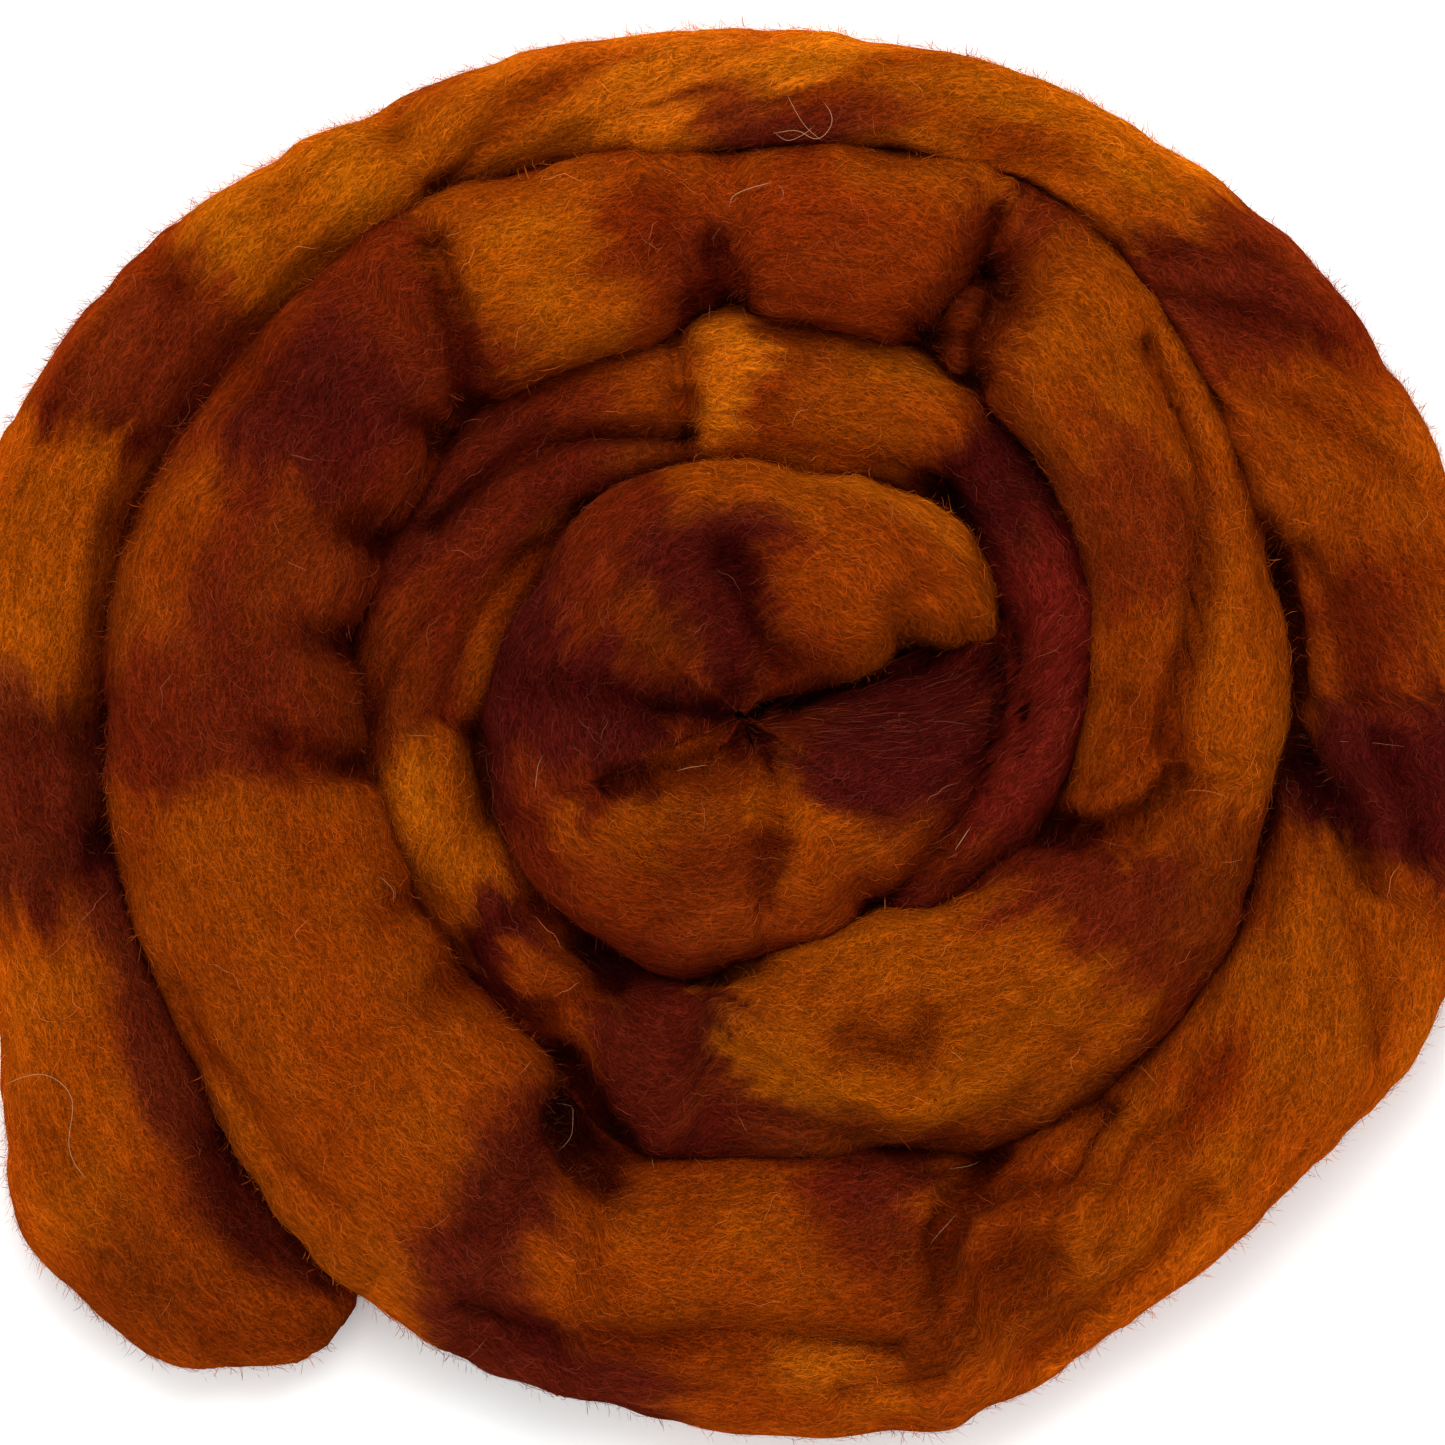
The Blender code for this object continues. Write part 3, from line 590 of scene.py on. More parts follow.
@dataclass
class WoolDyeAndPaintedLight:
    """The dyes on the strand's skin: patches with stirred borders and combed streaks, with painted shade in
    the grooves and a painted glow on the outline.

    Attributes:
        form: the strand's skin.
        deep_shade: painted shade, how much darker the colour is made in the grooves, where the fibres shade
            each other.
        rim_glow: painted glow, how much brighter the colour is made on the coil's outline, where light passes
            through.
        border: softness of a patch's border in the ball, in millimetres.
        border_growth: what the turns outside the ball add to that.
        side_border: softness of its border across the strand, as a share.
        groove_weight: how much of the shade comes from the grooves between the turns.
        crease_weight: how much of it comes from the creases.
    """

    form: "StrandForm"
    deep_shade: float = 0.58
    rim_glow: float = 0.55
    border: float = 4.0
    border_growth: float = 2.5
    side_border: float = 0.12
    groove_weight: float = 0.42
    crease_weight: float = 0.58

    STIRS = (
        # (noise, how far it moves the patches' borders in millimetres, how much it changes the wool's tone)
        (NoiseLayer(21, (26.0, 10.0)), 6.0, 0.08),
        (NoiseLayer(25, (16.0, 11.0)), 3.0, 0.09),
        (NoiseLayer(22, (40.0, 2.6)), 6.0, 0.09),
        (NoiseLayer(23, (6.0, 1.8)), 2.5, 0.06),
    )
    SPREAD = NoiseLayer(24, (14.0, 14.0), 0.07)     # moves the borders across the strand
    STREAK_SPREAD = 0.03                            # so do the streaks
    OUTER_STREAK = 0.08                             # what the outer turn adds to the streaks' tone
    BLOTCH_GREEN = 0.12                             # how much yellower the light blotches are
    PAINTED_PIT_REDDENING = 0.35                               # painted shade: how much redder the wool is made in the pits
    GROWTH_RADII = (40.0, 110.0)                    # where the borders grow softer
    OPEN_SHARES = (0.55, 0.85)                      # where the outer turn's groove gives way to its open side
    RIM_SHARES = (0.74, 1.0)                        # where the painted glow lies
    DEGREES = 57.3                                  # degrees in a radian
    MAP_CELL = 2.0                                  # cell of the height map that the shade comes from
    MAP_MARGIN = 30.0                               # free room round the coil on it
    REACHES = ((3.5, 5.0), (10.0, 22.0))            # (how far higher wool shades, the rise for full shade)

    def colours(self) -> np.ndarray:
        """Dye the skin, and paint shade into its grooves and a glow onto its outline.

        Returns:
            The wool's linear colour at each grid point.
        """
        form = self.form
        noises = [layer.at(form.along, form.across) for layer, _, _ in self.STIRS]
        _, blotch, streak, _ = noises
        stir = sum(noise * shift for noise, (_, shift, _) in zip(noises, self.STIRS))
        angle = form.angle_grid + stir * self.DEGREES / form.radius()
        share = form.share + self.SPREAD.at(form.along, form.across) + self.STREAK_SPREAD * streak
        growth = self.border_growth * smooth_step(*self.GROWTH_RADII, form.radius())
        edge = (self.border + growth) * self.DEGREES / form.radius()
        colours = np.empty(form.points.shape)
        colours[:] = Dye.AMBER.value
        for patch in PATCHES:
            weight = self._cover(patch, angle, share, edge)[..., None]
            colours = colours * (1.0 - weight) + np.array(patch.dye.value) * weight
        # painted shade: how deep each point lies in the grooves and creases, which darkens its colour
        depth = self._depth()
        tone = 1.0 + sum(noise * change for noise, (_, _, change) in zip(noises, self.STIRS))
        tone = tone + self.OUTER_STREAK * streak * form.outermost
        # painted shade darkens the grooves and creases, and a painted glow lightens the coil's outline
        tone = tone * (1.0 - self.deep_shade * depth) * (1.0 + self.rim_glow * self._rim())
        colours = colours * tone[..., None]
        # painted shade: the pits are made redder as well as darker
        colours[..., 1] *= 1.0 + self.BLOTCH_GREEN * blotch - self.PAINTED_PIT_REDDENING * depth
        return np.clip(colours, 0.0, 1.0)

    def _cover(self, patch: Patch, angle: np.ndarray, share: np.ndarray, edge: np.ndarray) -> np.ndarray:
        """Work out where a patch's dye lies.

        Args:
            patch: the patch.
            angle: stirred winding angle of each grid point.
            share: its stirred share across the strand.
            edge: softness of the patch's border there, in degrees.

        Returns:
            The dye's strength at each grid point, from 0 to 1.
        """
        middle = angle - patch.slant * (share - 0.5)    # the patch is straight halfway across the strand
        side = self.side_border
        weight = smooth_step(-1.0, 1.0, (middle - patch.start) / edge)
        weight = weight * smooth_step(-1.0, 1.0, (patch.end - middle) / edge)
        weight = weight * smooth_step(-side, side, share - patch.inner)
        return weight * smooth_step(-side, side, patch.outer - share) * patch.strength

    def _depth(self) -> np.ndarray:
        """Measure the grooves and creases for the painted shade, from a map of the coil's height that is
        blurred twice.

        Returns:
            How deep each grid point lies, from 0 on open tops to 1 in the pits.
        """
        plan, level = self.form.points[..., :2], self.form.points[..., 2]
        low = plan.min(axis=(0, 1)) - self.MAP_MARGIN
        high = plan.max(axis=(0, 1)) + self.MAP_MARGIN
        tops = np.zeros(np.ceil((high - low) / self.MAP_CELL).astype(int) + 1)
        spots = (plan - low) / self.MAP_CELL
        nearest = np.rint(spots).astype(int)
        np.maximum.at(tops, (nearest[..., 0], nearest[..., 1]), level)
        total = np.zeros(level.shape)
        for spread, full in self.REACHES:
            reach = int(3 * spread / self.MAP_CELL)
            bell = np.exp(-((np.arange(-reach, reach + 1) * self.MAP_CELL / spread) ** 2) / 2)
            bell /= bell.sum()
            soft = np.apply_along_axis(np.convolve, 0, tops, bell, mode="same")
            soft = np.apply_along_axis(np.convolve, 1, soft, bell, mode="same")
            around = read_grid(soft[..., None], spots[..., 0], spots[..., 1])[..., 0]
            total += np.clip((around - level) / full, 0.0, 1.0)
        open_side = smooth_step(*self.OPEN_SHARES, self.form.share) * self.form.outermost
        grooves = total * self.groove_weight * (1.0 - open_side)
        return np.clip(grooves + self.form.crease * self.crease_weight, 0.0, 1.0)

    def _rim(self) -> np.ndarray:
        """Mask of the painted glow: 1 on the coil's outline, where light passes through the thin fuzz, and 0
        elsewhere.
        """
        return smooth_step(*self.RIM_SHARES, self.form.share) * self.form.outermost


@dataclass
class StrandForm:
    """The strand's skin as a grid: rows run along the strand, columns up one side and down the other.

    Attributes:
        rows: sections along the strand.
        columns: points round a section.
        bottom_columns: how many of them close its flat bottom.
        seam: radius of the seam between a turn and the one outside it.
        lean: how far that seam leans outward for each millimetre of height.
        pit_radius: radius of the small pit that the ball is wound round.
        pit_widening: how much wider it gets for each millimetre of height.
        crest_height: height of the strand.
        crest_place: where across the strand it is highest.
        drift: how far the combed fibres move outward for each millimetre along it.
    """

    rows: int = 1500
    columns: int = 62
    bottom_columns: int = 3
    seam: Curve = field(default_factory=lambda: Curve(SEAM))
    lean: Curve = field(default_factory=lambda: Curve(LEAN))
    pit_radius: Curve = field(default_factory=lambda: Curve(PIT, 1))
    pit_widening: Curve = field(default_factory=lambda: Curve(PIT, 2))
    crest_height: Curve = field(default_factory=lambda: Curve(CREST, 1))
    crest_place: Curve = field(default_factory=lambda: Curve(CREST, 2))
    drift: Curve = field(default_factory=lambda: Curve(DRIFT))

    MEASURING_ROWS = 6000       # steps by which the strand's length is measured
    MARKING_LEVEL = 0.7         # share of the crest's height at which the folds' places are read
    ROUND_FOOT = 0.6            # height of the feet of the two rounds, as a share of the crest
    PARTING = (0.4, 0.6)        # shares of the height between which a section starts to part
    END_FADE = 32.0             # degrees over which the outline of the inner end fades out
    CAP_RISE = (0.2, 0.5)       # shares of the cap's height between which the wool closes over the axis
    FINE_COLUMNS = 600          # steps round the sections that pass on the columns
    COLUMN_SEARCH = 200         # how many steps on the next column's match is looked for
    KEPT_RISE = 0.62            # the outer side's columns are matched down to this share of the height
    FOLD_REACH = 25.0           # degrees past a fold's ends where it can still be felt
    CORE = 0.9                  # how much of a fold's depth its core takes
    SHOULDER = 2.4              # how much wider its soft shoulders are than its core
    SHOULDER_SHARE = 0.4        # how much of its depth they take
    FOLDED_RISE = (0.25, 0.7)   # shares of the height between which the folds grow to their depth
    DEEPEST = 0.66              # a crease goes down to this share of the height at most
    FULL_CREASE = 13.0          # the drop that gets the full painted shade
    EDGE = 0.3                  # share of the width that counts as the strand's edge
    EDGE_PULL = 0.4             # how far the edge draws back for each millimetre that a crease drops
    MOST_PULL = 5.0             # the edge never draws back further
    PULL_LEVELS = (SEAM_HEIGHT - 4.0, SEAM_HEIGHT + 14.0)   # heights between which it gets free to move
    ROUGH_RISE = (0.02, 0.35)   # shares of the height between which the skin gets rough
    AXIS_RADII = (8.0, 30.0)    # radii between which the furrows start, clear of the axis
    CLUMPS = NoiseLayer(11, (19.0, 19.0, 19.0), 2.0)
    TUFTS = NoiseLayer(12, (8.0, 8.0, 8.0), 0.9)
    FURROWS = NoiseLayer(13, (75.0, 6.5), 0.9)
    THREADS = NoiseLayer(14, (32.0, 2.6), 0.35)

    def __post_init__(self) -> None:
        """Work out the grid's points, their flow along the fibres, and their dye with its painted shade and
        glow.
        """
        self.angles = self._even_angles()
        side_columns = self.columns - self.bottom_columns
        self.turns = np.radians(np.linspace(-BOTTOM_TUCK, 180.0 + BOTTOM_TUCK, side_columns))
        self.angle_grid = np.repeat(self.angles[:, None], self.columns, axis=1)
        self.outermost = self.angle_grid > OUTER_START
        self._sweep()
        self._fold()
        self._flow()
        self._roughen()
        self.colours = WoolDyeAndPaintedLight(self).colours()

    def inner_radius(self, angles: np.ndarray, heights: np.ndarray) -> np.ndarray:
        """Find the strand's inner side: the small pit's wall, or the seam of the turn inside it.

        Args:
            angles: winding angles.
            heights: heights above the table.

        Returns:
            Distances from the axis.
        """
        above = heights - SEAM_HEIGHT
        pit = self.pit_radius.at(angles) + self.pit_widening.at(angles) * above
        inside = np.maximum(angles - TURN, START_ANGLE)
        seam = self.seam.at(inside) + self.lean.at(inside) * above + SEAM_GAP / 2
        return np.where(angles < BALL_END, pit, seam)

    def outer_radius(self, angles: np.ndarray, heights: np.ndarray) -> np.ndarray:
        """Distance of the strand's outer side from the axis, at winding angles and heights."""
        return self.seam.at(angles) + self.lean.at(angles) * (heights - SEAM_HEIGHT) - SEAM_GAP / 2

    def radius(self, least: float = 30.0) -> np.ndarray:
        """Distance of each grid point from the axis, never under the least."""
        return np.maximum(np.hypot(self.points[..., 0], self.points[..., 1]), least)

    def normals(self) -> np.ndarray:
        """Outward normals of the grid's points."""
        return unit(np.cross(np.gradient(self.points, axis=0), np.gradient(self.points, axis=1)))

    def placed(self, points: np.ndarray) -> np.ndarray:
        """Points in the frame, in metres."""
        return (points + np.array((*AXIS_PLACE, 0.0))) * MM

    def _plan(self, angle: float, share: float) -> np.ndarray:
        """Place a point of a fold's line.

        Args:
            angle: its winding angle.
            share: its share across the strand.

        Returns:
            Its place in plan.
        """
        spot = np.array([angle])
        height = self.crest_height.at(spot) * self.MARKING_LEVEL
        inner, outer = self.inner_radius(spot, height)[0], self.outer_radius(spot, height)[0]
        radius = inner + (outer - inner) * share
        turn = math.radians(angle)
        return np.array((radius * math.cos(turn), radius * math.sin(turn)))

    def _even_angles(self) -> np.ndarray:
        """Space the rows evenly along the middle of the strand.

        Returns:
            Their winding angles.
        """
        fine = np.linspace(START_ANGLE, END_ANGLE, self.MEASURING_ROWS)
        level = np.full(fine.shape, SEAM_HEIGHT)
        middle = (self.inner_radius(fine, level) + self.outer_radius(fine, level)) / 2
        steps = np.radians(np.diff(fine)) * (middle[1:] + middle[:-1]) / 2
        run = np.concatenate(([0.0], np.cumsum(steps)))
        self.length = run[-1]
        self.runs = np.linspace(0.0, self.length, self.rows)
        return np.interp(self.runs, run, fine)

    def _section(self, angles: np.ndarray, turns: np.ndarray) -> tuple[np.ndarray, np.ndarray]:
        """Work out smooth sections of the strand.

        Args:
            angles: winding angles of the sections.
            turns: angles round each section.

        Returns:
            Each point's distance from the axis and its height.
        """
        lowest = rounded(-math.sin(math.radians(BOTTOM_TUCK)))
        rise = np.maximum(0.0, (rounded(np.sin(turns)) - lowest) / (1.0 - lowest))[None, :]
        skew = np.log(self.crest_place.at(angles)) / math.log(0.5)
        share = rounded(np.cos(turns))[None, :] ** skew[:, None]
        nose = blunt_end((angles - START_ANGLE) / NOSE_LENGTH, NOSE_SHARE)
        crest = (self.crest_height.at(angles) * nose)[:, None]
        height = rise * crest
        angles = np.repeat(angles[:, None], len(turns), axis=1)
        inner = self.inner_radius(angles, height)
        outer = self.outer_radius(angles, height)
        radius = inner + (outer - inner) * share
        split = self.inner_radius(np.full(radius.shape, BALL_END), height)
        inside = (radius - inner) / np.maximum(split - inner, 1.0)
        outside = (radius - split) / np.maximum(outer - split, 1.0)
        off = np.clip(np.abs(2.0 * np.where(radius > split, outside, inside) - 1.0), 0.0, 1.0)
        arch = (1.0 - off ** FULLNESS) ** (1.0 / FULLNESS)
        rounds = crest * (self.ROUND_FOOT + (1.0 - self.ROUND_FOOT) * arch)
        part = smooth_step(*PASSING, angles) * (angles < BALL_END) * smooth_step(*self.PARTING, rise)
        height = height + (rounds - height) * part
        tail = blunt_end((END_ANGLE - angles) / TAIL_LENGTH, TAIL_SHARE)
        middle = (inner + outer) / 2
        return middle + (radius - middle) * tail, height * tail

    def _sweep(self) -> None:
        """Lay the smooth sections out along the spiral."""
        radius, height = self._section(self.angles, self.turns)
        self._pass_on(radius, height)
        gap = (np.arange(self.bottom_columns) + 1.0) / (self.bottom_columns + 1.0)
        below = radius[:, -1:] + (radius[:, :1] - radius[:, -1:]) * gap[None, :]
        radius = np.concatenate((radius, below), axis=1)
        height = np.concatenate((height, np.zeros(below.shape)), axis=1)
        inner = self.inner_radius(self.angle_grid, height)
        outer = self.outer_radius(self.angle_grid, height)
        self.share = np.clip((radius - inner) / (outer - inner), 0.0, 1.0)
        near, far, level = AXIS_CAP
        closing = (1.0 - smooth_step(near, far, radius)) * smooth_step(*self.CAP_RISE, height / level)
        height = height + np.maximum(level - height, 0.0) * closing
        self.rise = height / np.maximum(height.max(axis=1, keepdims=True), 1.0)
        ends = Curve(INNER_END).at(self.share) - START_ANGLE
        fading = 1.0 - smooth_step(START_ANGLE, START_ANGLE + self.END_FADE, self.angle_grid)
        turn = np.radians(self.angle_grid + ends * fading)
        self.points = np.stack((radius * np.cos(turn), radius * np.sin(turn), height), axis=-1)

    def _pass_on(self, radius: np.ndarray, height: np.ndarray) -> None:
        """Slide the columns outward before the strand leaves the ball, so that they meet the first turn's.

        Args:
            radius: each grid point's distance from the axis, changed in place.
            height: each grid point's height, changed in place.
        """
        rows = np.flatnonzero((self.angles > PASSING[0]) & (self.angles < BALL_END))
        fine = np.radians(np.linspace(-BOTTOM_TUCK, 180.0 + BOTTOM_TUCK, self.FINE_COLUMNS))
        fine_radius, fine_height = self._section(self.angles[rows], fine)
        after, count, last = rows[-1] + 1, len(self.turns), len(fine) - 1.0
        matched = (self.turns < math.pi / 2) | (height[after] > height[after].max() * self.KEPT_RISE)
        kept = int(np.flatnonzero(matched)[-1])
        plain = np.linspace(0.0, last, count)
        goals = plain.copy()
        start = 0
        for column in range(kept + 1):
            off = np.hypot(
                fine_radius[-1, start:] - radius[after, column],
                fine_height[-1, start:] - height[after, column],
            )
            start += int(np.argmin(off[:self.COLUMN_SEARCH]))
            goals[column] = start
        goals[kept:] = np.linspace(start, last, count - kept)
        for place, row in enumerate(rows):
            slide = float(smooth_step(*PASSING, self.angles[row]))
            spots = plain + (goals - plain) * slide
            radius[row] = np.interp(spots, np.arange(len(fine)), fine_radius[place])
            height[row] = np.interp(spots, np.arange(len(fine)), fine_height[place])

    def _fold(self) -> None:
        """Press the creases into the upper side, raise the ridges, and draw the edges back beside them."""
        drop = np.zeros(self.points.shape[:2])
        for fold in FOLDS:
            LOG.debug("fold: %s", fold.name)
            angles = [angle for angle, _ in fold.line]
            ends = (min(angles) - self.FOLD_REACH, max(angles) + self.FOLD_REACH)
            near = slice(*np.searchsorted(self.angles, ends))
            corners = [self._plan(angle, share) for angle, share in fold.line]
            distance = line_distance(self.points[near, :, :2], corners)
            core = np.exp(-((distance / fold.width) ** 2))
            shoulder = np.exp(-((distance / (self.SHOULDER * fold.width)) ** 2))
            drop[near] += fold.depth * (self.CORE * core + self.SHOULDER_SHARE * shoulder)
        weight = smooth_step(*self.FOLDED_RISE, self.rise)
        drop = np.minimum(drop, self.DEEPEST * self.points[:, :, 2]) * weight
        self.points[:, :, 2] -= drop
        self.crease = np.clip(drop / self.FULL_CREASE, 0.0, 1.0)
        outer_edge = smooth_step(1.0 - self.EDGE, 1.0, self.share)
        inner_edge = 1.0 - smooth_step(0.0, self.EDGE, self.share)
        free = smooth_step(*self.PULL_LEVELS, self.points[:, :, 2] + drop)
        pull = np.minimum(self.EDGE_PULL * np.maximum(drop, 0.0), self.MOST_PULL)
        pull = pull * (outer_edge - inner_edge) * free * (self.angle_grid > BALL_END)
        turn = np.radians(self.angle_grid)
        self.points[:, :, 0] -= pull * np.cos(turn)
        self.points[:, :, 1] -= pull * np.sin(turn)

    def _flow(self) -> None:
        """Measure along the fibres and across them, in millimetres, for the grain that follows them."""
        steps = np.linalg.norm(np.diff(self.points, axis=1), axis=-1)
        girth = np.concatenate((np.zeros((self.rows, 1)), np.cumsum(steps, axis=1)), axis=1)
        crest = int(np.argmax(self.rise[0]))
        slide = np.concatenate(([0.0], np.cumsum(self.drift.at(self.angles)[1:] * np.diff(self.runs))))
        self.along = np.repeat(self.runs[:, None], self.columns, axis=1)
        self.across = girth - girth[:, crest:crest + 1] + slide[:, None]

    def _roughen(self) -> None:
        """Give the skin its clumps, tufts and long furrows."""
        free = smooth_step(*self.ROUGH_RISE, self.rise)
        round_axis = smooth_step(*self.AXIS_RADII, self.radius(1.0))
        spots = np.moveaxis(self.points, -1, 0)
        lumps = self.CLUMPS.at(*spots) + self.TUFTS.at(*spots)
        lines = self.FURROWS.at(self.along, self.across) + self.THREADS.at(self.along, self.across)
        swell = (lumps + lines * round_axis) * free
        self.points = self.points + self.normals() * swell[..., None]
        self.points[:, :, 2] = np.maximum(self.points[:, :, 2], 0.0)


def build_mesh(name: str, points: np.ndarray, faces: np.ndarray, colours: np.ndarray) -> bpy.types.Object:
    """Make an object from arrays.

    Args:
        name: the piece's name.
        points: corner places in metres.
        faces: corner numbers, one row for each four-sided face.
        colours: colour at each corner: dye, with the skin's painted shade and glow where it has them.

    Returns:
        The object, linked to the scene.
    """
    mesh = bpy.data.meshes.new(name)
    mesh.vertices.add(len(points))
    mesh.vertices.foreach_set("co", np.ascontiguousarray(points, dtype=np.float32).ravel())
    corners = faces.shape[1]
    mesh.loops.add(faces.size)
    mesh.loops.foreach_set("vertex_index", faces.astype(np.int32).ravel())
    mesh.polygons.add(len(faces))
    mesh.polygons.foreach_set("loop_start", np.arange(0, faces.size, corners, dtype=np.int32))
    mesh.update(calc_edges=True)
    mesh.polygons.foreach_set("use_smooth", np.ones(len(faces), dtype=bool))
    layer = mesh.color_attributes.new(name=DYE_AND_PAINTED_LIGHT_LAYER, type="FLOAT_COLOR", domain="POINT")
    full = np.ones((len(points), 4), dtype=np.float32)
    full[:, :3] = colours
    layer.data.foreach_set("color", full.ravel())
    piece = bpy.data.objects.new(name, mesh)
    bpy.context.scene.collection.objects.link(piece)
    return piece


def add_map(piece: bpy.types.Object, name: str, places: np.ndarray) -> None:
    """Give a piece a UV map from one place for each face corner."""
    layer = piece.data.uv_layers.new(name=name)
    layer.uv.foreach_set("vector", np.ascontiguousarray(places, dtype=np.float32).ravel())


def join_ribbons(
    name: str, ribbons: np.ndarray, dyes: np.ndarray, finish: bpy.types.Material
) -> bpy.types.Object:
    """Make one piece of many thin ribbons, each with its own small cell of the bake map.

    Args:
        name: the piece's name.
        ribbons: places in metres, by ribbon, joint and edge.
        dyes: colour of each ribbon.
        finish: the ribbons' material.

    Returns:
        The finished piece.
    """
    count, joints = ribbons.shape[:2]
    ribbon, joint = np.meshgrid(np.arange(count), np.arange(joints - 1), indexing="ij")
    base = (ribbon * joints + joint) * 2
    faces = np.stack((base, base + 1, base + 3, base + 2), axis=-1).reshape(-1, 4)
    piece = build_mesh(name, ribbons.reshape(-1, 3), faces, np.repeat(dyes, joints * 2, axis=0))
    across = math.ceil(math.sqrt(count / 2.0))
    down = math.ceil(count / across)
    inside = 1.0 - 2.0 * CELL_MARGIN
    corners = []
    for ahead, over in ((0, 0), (0, 1), (1, 1), (1, 0)):
        run = (joint + ahead) / (joints - 1)
        left = (ribbon % across + CELL_MARGIN + inside * run) / across
        low = (ribbon // across + CELL_MARGIN + inside * over) / down
        corners.append(np.stack((left, low), axis=-1))
    add_map(piece, BAKE_MAP, np.stack(corners, axis=2).reshape(-1, 2))
    piece.data.materials.append(finish)
    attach(piece, ROOT)
    return piece


class NodeTree:
    """A short way to add and join shader nodes."""

    def __init__(self, tree: bpy.types.NodeTree) -> None:
        """Work on one tree."""
        self.tree = tree

    def add(self, kind: str, **settings: object) -> bpy.types.Node:
        """Add a node.

        Args:
            kind: the node's type.
            settings: its options by name.

        Returns:
            The node.
        """
        node = self.tree.nodes.new(kind)
        for key, value in settings.items():
            setattr(node, key, value)
        return node

    def join(self, source: bpy.types.NodeSocket, target: bpy.types.NodeSocket) -> None:
        """Link two sockets."""
        self.tree.links.new(source, target)

    def math(self, operation: str, first: object, second: object) -> bpy.types.NodeSocket:
        """Add a sum of two values.

        Args:
            operation: which sum.
            first: a socket or a number.
            second: a socket or a number.

        Returns:
            The result's socket.
        """
        node = self.add("ShaderNodeMath", operation=operation)
        for socket, value in zip(node.inputs, (first, second)):
            if isinstance(value, bpy.types.NodeSocket):
                self.join(value, socket)
            else:
                socket.default_value = value
        return node.outputs[0]

    def clamped(self, socket: bpy.types.NodeSocket) -> bpy.types.NodeSocket:
        """Hold a sum's value between 0 and 1."""
        socket.node.use_clamp = True
        return socket


@dataclass(frozen=True)
class GrainNoise:
    """Noise on stretched and turned flow coordinates.

    Attributes:
        cell: length and width of its cells, in metres.
        turn: how far they turn from the combed way, in radians.
        detail: extra layers of noise.
        ripple: how much the noise distorts itself.
    """

    cell: tuple[float, float]
    turn: float = 0.0
    detail: float = 1.0
    ripple: float = 0.8

    def add(self, nodes: NodeTree, flow: bpy.types.NodeSocket) -> bpy.types.NodeSocket:
        """Add the noise to a group.

        Args:
            nodes: the group's nodes.
            flow: distance along and across the fibres.

        Returns:
            The noise's value socket.
        """
        mapping = nodes.add("ShaderNodeMapping", vector_type="TEXTURE")
        mapping.inputs["Scale"].default_value = (*self.cell, 1.0)
        mapping.inputs["Rotation"].default_value = (0.0, 0.0, self.turn)
        nodes.join(flow, mapping.inputs["Vector"])
        noise = nodes.add("ShaderNodeTexNoise")
        noise.inputs["Scale"].default_value = 1.0
        noise.inputs["Detail"].default_value = self.detail
        noise.inputs["Roughness"].default_value = 0.5
        noise.inputs["Distortion"].default_value = self.ripple
        nodes.join(mapping.outputs["Vector"], noise.inputs["Vector"])
        return noise.outputs["Fac"]


class WoolGrain:
    """Node group: curly fibres that follow the combed wool, with darker gaps between them."""

    NAME = "wool grain"
    CURLS = (
        # (noise whose middle line is the curl, thickness of the line as a share of the noise's range)
        (GrainNoise((0.0060, 0.0009)), 0.13),
        (GrainNoise((0.0050, 0.0008), 0.36), 0.12),
        (GrainNoise((0.0050, 0.0008), -0.34), 0.12),
        (GrainNoise((0.0028, 0.0010), 1.2), 0.09),
    )
    LOCKS = GrainNoise((0.016, 0.0022), 0.0, 2.0, 0.4)
    CURL_TONE = 0.65            # how much of the tone comes from the curls
    LOCK_TONE = 0.35            # and how much from the locks that they lie in

    @classmethod
    def group(cls) -> bpy.types.NodeTree:
        """Build the group, once.

        Returns:
            The group.
        """
        if cls.NAME in bpy.data.node_groups:
            return bpy.data.node_groups[cls.NAME]
        tree = bpy.data.node_groups.new(cls.NAME, "ShaderNodeTree")
        tree.interface.new_socket("Flow", in_out="INPUT", socket_type="NodeSocketVector")
        tree.interface.new_socket("Tone", in_out="OUTPUT", socket_type="NodeSocketFloat")
        tree.interface.new_socket("Height", in_out="OUTPUT", socket_type="NodeSocketFloat")
        nodes = NodeTree(tree)
        flow = nodes.add("NodeGroupInput").outputs["Flow"]
        leave = nodes.add("NodeGroupOutput")
        lines = [cls._curl(nodes, noise.add(nodes, flow), thickness) for noise, thickness in cls.CURLS]
        height = lines[0]
        for line in lines[1:]:
            height = nodes.math("MAXIMUM", height, line)
        curls = nodes.math("MULTIPLY", height, cls.CURL_TONE)
        locks = nodes.math("MULTIPLY", cls.LOCKS.add(nodes, flow), cls.LOCK_TONE)
        nodes.join(nodes.math("ADD", curls, locks), leave.inputs["Tone"])
        nodes.join(height, leave.inputs["Height"])
        return tree

    @staticmethod
    def _curl(nodes: NodeTree, noise: bpy.types.NodeSocket, thickness: float) -> bpy.types.NodeSocket:
        """Thin curly lines along the middle of a noise's range, 1 on them and 0 between them."""
        off = nodes.math("ABSOLUTE", nodes.math("SUBTRACT", noise, 0.5), 0.0)
        return nodes.clamped(nodes.math("SUBTRACT", 1.0, nodes.math("DIVIDE", off, thickness)))


